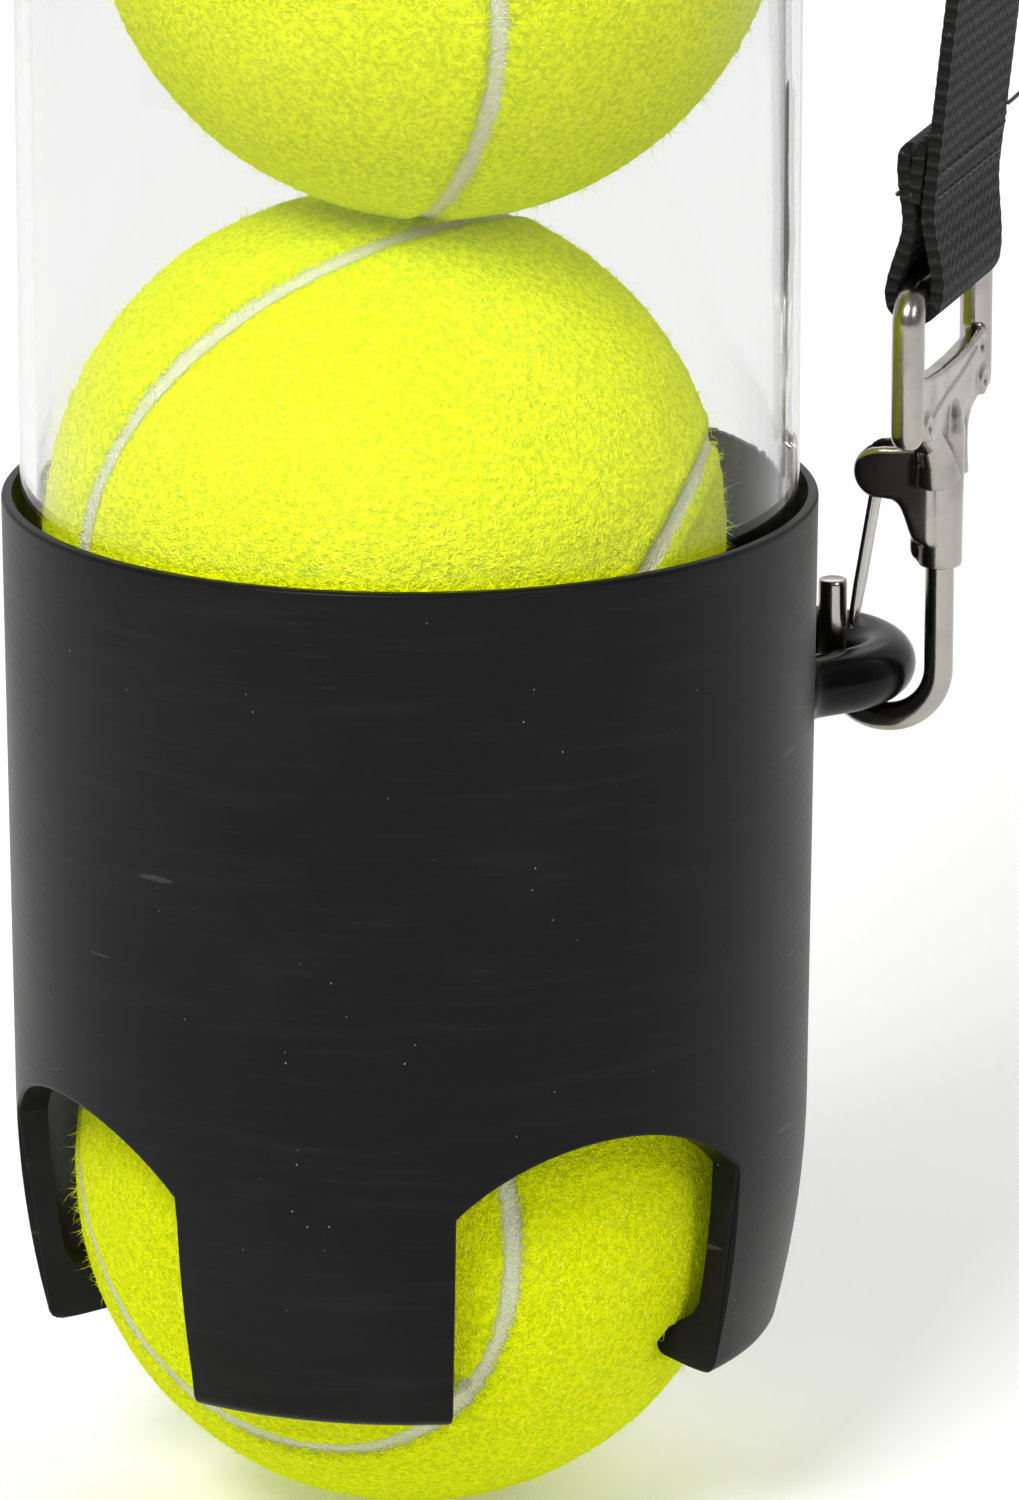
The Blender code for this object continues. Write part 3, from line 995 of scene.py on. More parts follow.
@dataclass(frozen=True)
class StrapLoop:
    """A level U of round section that grows out of the wall with a flared root."""

    finish: bpy.types.Material
    height: float
    prefix: str
    wall_r: float = 39.95 * MM
    rod_r: float = 3.2 * MM
    bend_x: float = 44.4 * MM
    bend_r: float = 9.2 * MM
    flare: float = 1.5 * MM
    sides: int = 28

    def build(self) -> None:
        """Sweeps the U from root to root, flaring at both."""
        z = DATUM.z(self.height)
        lean = math.asin(self.bend_r / self.wall_r)
        inset = 0.75 * MM
        root = Vector((math.cos(lean), math.sin(lean), 0)) * (self.wall_r - inset)
        outs = [0.0, 0.5, 0.9, 1.4, 2.0, 2.8, 3.8]
        limb = [Vector((root.x + d * MM, self.bend_r, z)) for d in outs]
        grown = [self.flare * (1 - min(1.0, d / 2.8)) ** 2 for d in outs]
        bend = [Vector((x, y, z)) for x, y in arc((self.bend_x, 0), self.bend_r, 90, -90, 32)]
        far = [Vector((p.x, -p.y, p.z)) for p in reversed(limb)]
        route = limb + bend + far
        grown = grown + [0.0] * len(bend) + grown[::-1]
        shape = bmesh.new()
        sweep(shape, route, lambda i: (self.rod_r + grown[i],) * 2, self.sides, Vector((0, 0, 1)))
        piece = to_object(f"{self.prefix}_strap_loop_rod", shape)
        settle(piece, 50.0)
        present(piece, self.finish, "tube_frame", [f"{self.prefix}_strap_loop"])


@dataclass(frozen=True)
class ClearTube:
    """The clear tube, with polished cut ends."""

    finish: bpy.types.Material
    steps: int = 192
    outer_r: float = 38.1 * MM
    wall: float = 1.6 * MM
    edge: float = 0.25 * MM

    def build(self) -> None:
        """Turns the tube between the heights that its node has."""
        low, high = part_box("clear_tube")[0].z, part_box("clear_tube")[1].z
        e, inner = self.edge, self.outer_r - self.wall
        span = high - low - 4 * MM
        levels = [low + 2 * MM + span * i / 12 for i in range(13)]
        levels = [low + 0.5 * MM, low + 1 * MM, *levels, high - 1 * MM, high - 0.5 * MM]
        profile = arc((self.outer_r - e, high - e), e, 90, 0, 3)
        profile += [(self.outer_r, z) for z in reversed(levels)]
        profile += arc((self.outer_r - e, low + e), e, 0, -90, 3)
        profile += arc((inner + e, low + e), e, 270, 180, 3)
        profile += [(inner, z) for z in levels]
        profile += arc((inner + e, high - e), e, 180, 90, 3)
        tube = to_object("clear_tube_wall", lathe(profile, self.steps))
        settle(tube, 50.0)
        present(tube, self.finish, "tube_frame", ["clear_tube"])


@dataclass(frozen=True)
class TopEnd:
    """The collar on the tube's upper end and the lid that pulls off it."""

    finish: bpy.types.Material
    steps: int = 160
    socket_r: float = 38.5 * MM
    mouth_r: float = 36.4 * MM
    edge: float = 0.5 * MM
    lid_r: float = 39.6 * MM
    plug_r: float = 36.05 * MM
    plug_wall: float = 1.7 * MM
    tab_r: float = 9.0 * MM
    tab_x: float = -37.5 * MM

    def collar(self) -> None:
        """Turns the collar: a skirt with two shallow grip grooves and the ring the tube stops on."""
        low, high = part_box("top_collar")[0].z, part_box("top_collar")[1].z
        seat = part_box("clear_tube")[1].z + 0.3 * MM
        low_r, high_r, e = 39.95 * MM, 39.5 * MM, self.edge

        def outside(z: float) -> float:
            """The skirt's radius at a height."""
            return low_r + (high_r - low_r) * (z - low) / (high - low)

        profile = arc((high_r - e, high - e), e, 90, 0, 4)
        for groove in (high - 7.0 * MM, high - 10.5 * MM):
            cut = arc((outside(groove) + 0.25 * MM, groove), 0.8 * MM, 108, 252, 6)
            profile += [(min(r, outside(z)), z) for r, z in cut]
        profile += arc((low_r - e, low + e), e, 0, -90, 4)
        profile += [(self.socket_r + 0.45 * MM, low), (self.socket_r, low + 1.2 * MM), (self.socket_r, seat)]
        profile += [(self.mouth_r, seat), (self.mouth_r, high - 0.4 * MM), (self.mouth_r + 0.4 * MM, high)]
        piece = to_object("top_collar_moulding", lathe(profile, self.steps))
        settle(piece)
        present(piece, self.finish, "tube_frame", ["top_collar"])

    def lid(self) -> None:
        """Turns the lid with a dished top, a stiffening ring and a plug, and adds the ribbed tab."""
        low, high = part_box("lid")[0].z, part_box("lid")[1].z
        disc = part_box("top_collar")[1].z + 0.3 * MM
        e, r = 1.2 * MM, self.lid_r
        steps_in = ((0, 0.9), (24, 0.9), (25, 0.75), (26, 0.1))
        dish = [(out * MM, high - sunk * MM) for out, sunk in steps_in]
        top = dish + [(26.4 * MM, high), (r - e, high)] + arc((r - e, high - e), e, 80, 0, 5)
        under = [(r, disc + 0.3 * MM), (r - 0.3 * MM, disc)]
        under += [(self.plug_r, disc), (self.plug_r, low + 1.0 * MM)]
        bore_r = self.plug_r - self.plug_wall
        plug = [(self.plug_r - 0.5 * MM, low), (bore_r, low), (bore_r, disc)]
        shape = lathe(top + under + plug + [(0, disc)], self.steps, closed=False)
        piece = to_object("lid_moulding", shape)

        tab = bmesh.new()
        thick = high - e - disc
        centre = Matrix.Translation((self.tab_x, 0, disc + thick / 2))
        bmesh.ops.create_cone(
            tab, cap_ends=True, segments=56, radius1=self.tab_r, radius2=self.tab_r, depth=thick,
            matrix=centre
        )
        rims = [edge for edge in tab.edges if abs(edge.verts[0].co.z - edge.verts[1].co.z) < 1e-7]
        bmesh.ops.bevel(
            tab, geom=rims, offset=0.5 * MM, segments=3, profile=0.5, affect="EDGES", material=-1
        )
        boolean(piece, to_object("lid_tab", tab), "UNION")
        for k in range(3):
            rib = bmesh.new()
            x = self.tab_x - 3.2 * MM - k * 1.7 * MM
            half = math.sqrt(self.tab_r**2 - (x - self.tab_x) ** 2) - 1.6 * MM
            z = disc + thick - 0.1 * MM
            route = [Vector((x, -half + 2 * half * i / 6, z)) for i in range(7)]
            sweep(rib, route, lambda i: (0.35 * MM if 0 < i < 6 else 0.1 * MM,) * 2, 10, Vector((1, 0, 0)))
            boolean(piece, to_object("lid_rib", rib), "UNION")
        settle(piece)
        present(piece, self.finish, "lid", ["lid"])

    def build(self) -> None:
        """Makes the collar and the lid."""
        self.collar()
        self.lid()


# ---------------------------------------------------------------------------------------------
# The balls
# ---------------------------------------------------------------------------------------------


@dataclass(frozen=True)
class BallStack:
    """The stack of felt balls, each turned its own way and pressed against its neighbours."""

    felt: bpy.types.Material
    fibres: bpy.types.Material
    count: int = 12
    felt_r: float = 33.45 * MM
    contact: float = 32.78 * MM
    sag: float = 1.1 * MM
    lip: Point = (31.1 * MM, 2.4 * MM)
    lip_round: float = 1.55 * MM
    seam_share: float = 0.28
    seam_half: float = 0.7 * MM
    groove: float = 0.34 * MM
    dense_balls: int = 3
    doublings: int = 13
    fibre_r: float = 0.036 * MM
    room_r: float = 36.38 * MM
    give: float = 0.92
    held_span: float = 26.0
    held_fade: float = 4.0
    seed: int = 20
    turns: tuple[tuple[float, float, float], ...] = (
        (-169.3, -38.5, -109.0), (47.7, -17.6, 87.8), (-131.1, 4.7, -18.9)
    )

    def seam_tree(self) -> kdtree.KDTree:
        """The closed seam curve.

        Returns:
            A tree of its points on a unit sphere.
        """
        a, b, points = 1 - self.seam_share, self.seam_share, 1440
        tree = kdtree.KDTree(points)
        for i in range(points):
            t = math.tau * i / points
            x = a * math.cos(t) + b * math.cos(3 * t)
            y = a * math.sin(t) - b * math.sin(3 * t)
            tree.insert((x, y, 2 * math.sqrt(a * b) * math.sin(2 * t)), i)
        tree.balance()
        return tree

    def felt_shape(self) -> bmesh.types.BMesh:
        """One ball at the origin: lumpy felt, with a groove where its two panels meet.

        Returns:
            The shape, with each point's distance to the seam in the layer "seam".
        """
        tree = self.seam_tree()

        def away(place: Vector) -> float:
            """How far a point lies from the seam, measured on the ball."""
            return tree.find(place.normalized())[2] * self.felt_r

        shape = bmesh.new()
        bmesh.ops.create_icosphere(shape, subdivisions=6, radius=self.felt_r)
        for reach in (4.2 * MM, 2.6 * MM):
            near = [e for e in shape.edges if away((e.verts[0].co + e.verts[1].co) / 2) < reach]
            bmesh.ops.subdivide_edges(shape, edges=near, cuts=1, use_grid_fill=True)
        bmesh.ops.triangulate(shape, faces=shape.faces)
        layer = shape.verts.layers.float.new("seam")
        for vert in shape.verts:
            out = vert.co.normalized()
            distance = away(out)
            vert[layer] = distance
            sunk = self.groove * (1 - min(1.0, max(0.0, (distance - 0.5 * MM) / (1.1 * MM)))) ** 1.5
            swell = 0.12 * MM * math.exp(-(((distance - 2.2 * MM) / (0.8 * MM)) ** 2))
            lumps = noise.noise(out * 9.0) * 0.10 * MM + noise.noise(out * 38.0) * 0.05 * MM
            vert.co = out * (self.felt_r - sunk + swell + lumps)
        return shape

    def fuzz(self, doublings: int) -> bpy.types.Mesh:
        """The loose fibres of one ball, each a bent spike rooted in the felt.

        Args:
            doublings: how often the first fibre is doubled.

        Returns:
            The fibres about the origin.
        """
        gap = 4.0
        shape = bmesh.new()
        bmesh.ops.create_cone(
            shape, cap_ends=True, segments=3, radius1=1.0, radius2=0.0, depth=1.0,
            matrix=Matrix.Translation((0, 0, 0.5))
        )
        bmesh.ops.bisect_plane(
            shape, geom=shape.verts[:] + shape.edges[:] + shape.faces[:], plane_co=(0, 0, 0.5),
            plane_no=(0, 0, 1)
        )
        for k in range(doublings):
            made = bmesh.ops.duplicate(shape, geom=shape.verts[:] + shape.edges[:] + shape.faces[:])["geom"]
            moved = [v for v in made if isinstance(v, bmesh.types.BMVert)]
            bmesh.ops.translate(shape, verts=moved, vec=(gap * 2**k, 0, 0))
        mesh = bpy.data.meshes.new("fuzz")
        shape.to_mesh(mesh)
        shape.free()

        places = np.empty(len(mesh.vertices) * 3)
        mesh.vertices.foreach_get("co", places)
        places = places.reshape(-1, 3)
        which = np.rint(places[:, 0] / gap).astype(int)
        x, y, up = places[:, 0] - gap * which, places[:, 1], places[:, 2]

        total = 2**doublings
        random = np.random.default_rng(self.seed)
        index = np.arange(total) + random.uniform(-0.5, 0.5, total)
        z = np.clip(1 - 2 * (index + 0.5) / total, -1, 1)
        angle = index * math.pi * (3 - math.sqrt(5))
        out = np.stack([np.sqrt(1 - z * z) * np.cos(angle), np.sqrt(1 - z * z) * np.sin(angle), z], 1)
        side = np.cross(out, random.normal(size=(total, 3)))
        side /= np.linalg.norm(side, axis=1, keepdims=True)
        cross = np.cross(out, side)
        tilt = np.where(random.random(total) < 0.60, 64, 30)
        lying = np.radians(tilt + random.normal(0, 9, total))[:, None]
        length = (0.5 + random.gamma(2.2, 0.32, total))[:, None] * MM
        start = out * np.cos(lying) + side * np.sin(lying)
        bend = cross * random.normal(0, 0.5, (total, 1)) - out * random.uniform(-0.25, 0.45, (total, 1))
        root = out * (self.felt_r - 0.06 * MM)

        thick = self.fibre_r * (1 - 0.35 * up)[:, None]
        flat = np.cross(start, cross)
        flat /= np.linalg.norm(flat, axis=1, keepdims=True)
        along = start[which] * up[:, None] + bend[which] * (up**2)[:, None]
        across = flat[which] * x[:, None] + cross[which] * y[:, None]
        places = root[which] + along * length[which] + across * thick
        mesh.vertices.foreach_set("co", places.astype(np.float32).ravel())
        return mesh

    def pattern(self, doublings: int) -> bpy.types.Mesh:
        """One whole ball at the origin, felt first and fibres second.

        Args:
            doublings: how often the first fibre is doubled.

        Returns:
            The ball's mesh.
        """
        shape = self.felt_shape()
        fuzz = self.fuzz(doublings)
        felt_faces, felt_verts = len(shape.faces), len(shape.verts)
        shape.from_mesh(fuzz)
        layer = shape.verts.layers.float["seam"]
        shape.faces.ensure_lookup_table()
        shape.verts.ensure_lookup_table()
        for face in shape.faces[felt_faces:]:
            face.material_index = 1
        for vert in shape.verts[felt_verts:]:
            vert[layer] = 1.0
        mesh = bpy.data.meshes.new("ball_pattern")
        shape.to_mesh(mesh)
        shape.free()
        bpy.data.meshes.remove(fuzz)
        return mesh

    def centre(self, k: int) -> Vector:
        """The middle of ball k, counted from 0. The held felt gives, so it lies a little low."""
        low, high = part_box(f"ball_{k + 1:02d}")
        return (low + high) / 2 - Vector((0, 0, self.sag))

    def dent(self, places: np.ndarray) -> np.ndarray:
        """Presses the lowest ball in where the fingers' lips hold it.

        Args:
            places: the ball's points about its own middle.

        Returns:
            The points, none of them inside a lip.
        """
        lip = np.array((self.lip[0], DATUM.z(self.lip[1]) - self.centre(0).z))
        size = np.maximum(np.linalg.norm(places, axis=1), MM)
        out = np.stack([np.linalg.norm(places[:, :2], axis=1), places[:, 2]], 1) / size[:, None]
        along = out @ lip
        beside = lip @ lip - along**2
        turn = np.degrees(np.arctan2(places[:, 1], places[:, 0])) % 90 - 45
        held = np.clip((self.held_span - np.abs(turn)) / self.held_fade, 0, 1)
        room = self.lip_round**2 * held - beside
        limit = np.where(room > 0, along - np.sqrt(np.maximum(room, 0)), 1.0)
        return places * np.minimum(1, limit / size)[:, None]

    def turn(self, k: int) -> Matrix:
        """How ball k is turned."""
        angles = self.turns[k] if k < len(self.turns) else (137.5 * k, 61.0 * k, 222.0 * k)
        return Euler([math.radians(a) for a in angles]).to_matrix()

    def build(self) -> None:
        """Places the balls and presses each against the next and against the tube's wall."""
        dense, sparse = self.pattern(self.doublings), self.pattern(self.doublings - 1)
        for k in range(self.count):
            pattern = dense if k < self.dense_balls else sparse
            rest = np.empty(len(pattern.vertices) * 3, np.float32)
            pattern.vertices.foreach_get("co", rest)
            rest = rest.reshape(-1, 3)
            middle = np.array(self.centre(k))
            places = rest @ np.array(self.turn(k)).T
            for other in (k - 1, k + 1):
                if 0 <= other < self.count:
                    towards = np.array((self.centre(other) - self.centre(k)).normalized())
                    proud = np.maximum(places @ towards - self.contact, 0)
                    places = places - proud[:, None] * towards * self.give
            places = (self.dent(places) if k == 0 else places) + middle
            out = np.linalg.norm(places[:, :2], axis=1)
            shrink = np.minimum(1, self.room_r / np.maximum(out, MM))
            places[:, :2] *= shrink[:, None]
            mesh = pattern.copy()
            mesh.name = f"ball_{k + 1:02d}_felt"
            mesh.vertices.foreach_set("co", places.astype(np.float32).ravel())
            mesh.materials.append(self.felt)
            mesh.materials.append(self.fibres)
            mesh.shade_smooth()
            ball = bpy.data.objects.new(f"ball_{k + 1:02d}_felt", mesh)
            bpy.context.scene.collection.objects.link(ball)
            present(ball, self.felt, f"ball_{k + 1:02d}", [f"ball_{k + 1:02d}"])
        bpy.data.meshes.remove(dense)
        bpy.data.meshes.remove(sparse)


# ---------------------------------------------------------------------------------------------
# The strap and its hooks
# ---------------------------------------------------------------------------------------------


@dataclass(frozen=True)
class HookSite:
    """Where a hook hangs: x runs outwards, z towards the strap, from the middle of the loop's bend."""

    height: float
    upside_down: bool
    prefix: str
    bend_x: float = 44.4 * MM
    turn: float = math.radians(-48.5)

    def matrix(self) -> Matrix:
        """The hook's place.

        Returns:
            The matrix that takes the hook's own directions to the frame's.
        """
        place = Matrix.Translation((self.bend_x, 0, DATUM.z(self.height)))
        place = place @ Matrix.Rotation(self.turn, 4, "Z")
        return place @ Matrix.Rotation(math.pi, 4, "X") if self.upside_down else place


@dataclass(frozen=True)
class SnapHook:
    """A snap hook: a plated sheet folded round a J of wire, with a leaf for a gate."""

    finish: bpy.types.Material
    site: HookSite
    wire_r: float = 1.45 * MM
    bend_r: float = 5.53 * MM
    limb_x: float = 15.2 * MM
    bend_z: float = 0.6 * MM
    tip_z: float = 8.9 * MM
    barrel_r: float = 2.25 * MM
    barrel_low: float = 11.2 * MM
    guard_left: float = 6.64 * MM
    guard_low: float = 18.0 * MM
    guard_high: float = 23.5 * MM
    guard_half: float = 2.4 * MM
    eye_r: float = 1.65 * MM
    eye_half: float = 12.6 * MM
    eye_corner: float = 2.8 * MM
    bar_z: float = 41.2 * MM
    gate_x: float = 9.07 * MM
    gate_z: float = 21.5 * MM
    gate_tilt: float = math.radians(9.3)
    gate_below: float = 17.8 * MM
    gate_half: float = 1.7 * MM
    gate_thick: float = 0.6 * MM
    voxel: float = 0.17 * MM

    def stand(self, piece: bpy.types.Object) -> bpy.types.Object:
        """Moves a mesh made in the hook's own directions to its place."""
        piece.data.transform(self.site.matrix())
        return piece

    def solid_parts(self) -> bmesh.types.BMesh:
        """The body's overlapping solids, before they are fused.

        Returns:
            The solids in the hook's own directions.
        """
        x = self.limb_x
        shape = bmesh.new()
        barrel = [Vector((x, 0, z * MM)) for z in (11.2, 11.5, 14, 18, 22, 25, 27, 28)]
        taper = (0.93, 1.0, 1.0, 1.02, 1.05, 1.08, 0.95, 0.8)
        sweep(shape, barrel, lambda i: (self.barrel_r * taper[i],) * 2, 36, Vector((0, 1, 0)))

        round_r = (self.guard_high - self.guard_low) / 2
        end = arc((self.guard_left + round_r, self.guard_low + round_r), round_r, 90, 270, 16)
        skirt = [(10.4, 18.0), (11.2, 17.8), (11.7, 16.9), (12.3, 15.2), (12.75, 13.9), (x / MM, 13.0)]
        top = [(x / MM, 24.6), (12.2, 23.7)]
        outline = [(s * MM, z * MM) for s, z in top] + end + [(s * MM, z * MM) for s, z in skirt]
        middle = [Vector((s, 0, z)) for s, z in outline]
        plate(shape, middle, Vector((0, 2 * self.guard_half, 0)), 0.7 * MM, 4)
        lip = [(12.35, 16.4), (12.3, 12.4), (12.9, 11.7), (14, 11.7), (14, 16.4)]
        plate(shape, [Vector((s * MM, 0, z * MM)) for s, z in lip], Vector((0, 2.6 * MM, 0)), 0.5 * MM, 3)

        half = [(2.3, 21.6), (3.6, 23.9), (7.0, 25.7), (10.6, 26.6), (13.2, 27.6), (14.1, 29.2)]
        half += [(13.6, 32.0), (11.2, 33.2), (8.0, 32.6), (3.0, 32.3)]
        outline = [(w * MM, z * MM) for w, z in half + [(-w, z) for w, z in reversed(half)]]
        middle = [Vector((x + 0.3 * MM, w, z)) for w, z in outline]
        plate(shape, middle, Vector((2.1 * MM, 0, 0)), 0.5 * MM, 3)
        gusset = [(1.6, 20.5, 2.4), (2.6, 23.0, 2.0), (4.6, 25.2, 1.55), (7.5, 26.8, 1.3), (10.4, 28.0, 1.35)]
        for side in (-1, 1):
            route = [Vector((x, side * w * MM, z * MM)) for w, z, _ in gusset]
            sweep(shape, route, lambda i: (gusset[i][2] * MM,) * 2, 24, Vector((1, 0, 0)))

        corner_y, corner_z = self.eye_half - self.eye_corner, self.bar_z - self.eye_corner
        ends = (20, 45, 68, 90)
        right = [(self.eye_half, 25.9 * MM + self.eye_r * (1 - math.cos(math.radians(a)))) for a in ends]
        right += [(self.eye_half, z * MM) for z in (28.5, 31, 33.5, 36)]
        right += arc((corner_y, corner_z), self.eye_corner, 0, 90, 8)
        route = [Vector((x, y, z)) for y, z in right + [(-y, z) for y, z in reversed(right)]]
        last = len(route) - 1

        def limb(i: int) -> tuple[float, float]:
            """Rounds the eye's two lower ends.

            Args:
                i: the section, counted along the eye.

            Returns:
                The section's half-widths.
            """
            step = min(i, last - i)
            share = math.sin(math.radians(ends[step])) if step < len(ends) else 1.0
            return self.eye_r * share, self.eye_r * share

        sweep(shape, route, limb, 28, Vector((1, 0, 0)))
        for side in (-1, 1):
            boss = Matrix.Translation((x + 1.0 * MM, side * 10.3 * MM, 27.9 * MM))
            boss = boss @ Matrix.Rotation(math.pi / 2, 4, "Y")
            bmesh.ops.create_cone(
                shape, cap_ends=True, segments=28, radius1=1.75 * MM, radius2=1.45 * MM, depth=1.5 * MM,
                matrix=boss
            )
        return shape

    def cuts(self) -> bmesh.types.BMesh:
        """What is taken from the body: the gate's slot, a fold line and three dimples.

        Returns:
            The cutters in the hook's own directions.
        """
        shape = bmesh.new()
        slot = [(7.35, 16.5), (10.7, 16.5), (11.0, 19.0), (11.0, 25.0), (7.35, 25.0)]
        plate(shape, [Vector((s * MM, 0, z * MM)) for s, z in slot], Vector((0, 3.7 * MM, 0)), 0.0)
        face_x = self.limb_x + 1.35 * MM
        fold = [(-10.2, 27.4), (-9.0, 28.3), (-6.2, 28.9), (-2.5, 29.8)]
        fold += [(1.5, 30.3), (5.0, 31.0), (8.6, 31.9)]
        rod(shape, [Vector((face_x, w * MM, z * MM)) for w, z in fold], 0.26 * MM, 10, Vector((1, 0, 0)))
        for w, z, off in ((10.4, 31.4, 0.25), (-10.3, 27.9, 0.75), (10.3, 27.9, 0.75)):
            spot = Matrix.Translation((face_x + off * MM, w * MM, z * MM))
            bmesh.ops.create_icosphere(shape, subdivisions=3, radius=0.75 * MM, matrix=spot)
        return shape

    def body(self) -> None:
        """Fuses the solids, cuts them and softens the result as pressing and plating do."""
        piece = to_object(f"{self.site.prefix}_hook_pressing", self.solid_parts())
        fuse = piece.modifiers.new("fuse", "REMESH")
        fuse.mode = "VOXEL"
        fuse.voxel_size = self.voxel
        soften = piece.modifiers.new("soften", "SMOOTH")
        soften.factor = 0.5
        soften.iterations = 7
        settle(piece)
        boolean(piece, to_object("hook_cuts", self.cuts()), "DIFFERENCE")
        ease = piece.modifiers.new("ease", "REMESH")
        ease.mode = "VOXEL"
        ease.voxel_size = self.voxel
        calm = piece.modifiers.new("calm", "SMOOTH")
        calm.factor = 0.5
        calm.iterations = 3
        settle(piece, 60.0)
        present(self.stand(piece), self.finish, "strap_set", [f"{self.site.prefix}_hook_body"])

    def wire(self) -> None:
        """Bends the J and eases its cut tip."""
        centre = (self.limb_x - self.bend_r, self.bend_z)
        top = [(self.limb_x, self.barrel_low + 1.5 * MM), (self.limb_x, 8.0 * MM), (self.limb_x, 4.0 * MM)]
        bend = arc(centre, self.bend_r, 0, -180, 36)
        tip_x = self.limb_x - 2 * self.bend_r
        tip_heights = (4.0 * MM, self.tip_z - 0.5 * MM, self.tip_z - 0.12 * MM, self.tip_z)
        tip = [(tip_x, z) for z in tip_heights]
        route = [Vector((x, 0, z)) for x, z in top + bend + tip]
        last = len(route) - 1
        shape = bmesh.new()
        eased = {last: 0.84, last - 1: 0.96}
        sweep(shape, route, lambda i: (self.wire_r * eased.get(i, 1.0),) * 2, 32, Vector((0, 1, 0)))
        piece = to_object(f"{self.site.prefix}_hook_j_wire", shape)
        settle(piece, 50.0)
        present(self.stand(piece), self.finish, "strap_set", [f"{self.site.prefix}_hook_wire"])

    def gate(self) -> None:
        """Shapes the leaf, narrower and rounded at its free end."""
        half, foot = self.gate_half, -self.gate_below
        end = arc((0, foot + half * 0.75), half * 0.75, 180, 360, 12)
        outline = [(half, 0.5 * MM), (-half, 0.5 * MM), (-half, foot + 5 * MM)]
        outline += [*end, (half, foot + 5 * MM)]
        shape = bmesh.new()
        plate(shape, [Vector((0, y, z)) for y, z in outline], Vector((self.gate_thick, 0, 0)), 0.14 * MM, 2)
        place = Matrix.Translation((self.gate_x, 0, self.gate_z)) @ Matrix.Rotation(self.gate_tilt, 4, "Y")
        bmesh.ops.transform(shape, matrix=place, verts=shape.verts)
        piece = to_object(f"{self.site.prefix}_hook_leaf", shape)
        settle(piece, 40.0)
        gate = f"{self.site.prefix}_gate"
        present(self.stand(piece), self.finish, gate, [f"{self.site.prefix}_hook_gate"])

    def build(self) -> None:
        """Makes the hook's three pieces."""
        self.body()
        self.wire()
        self.gate()


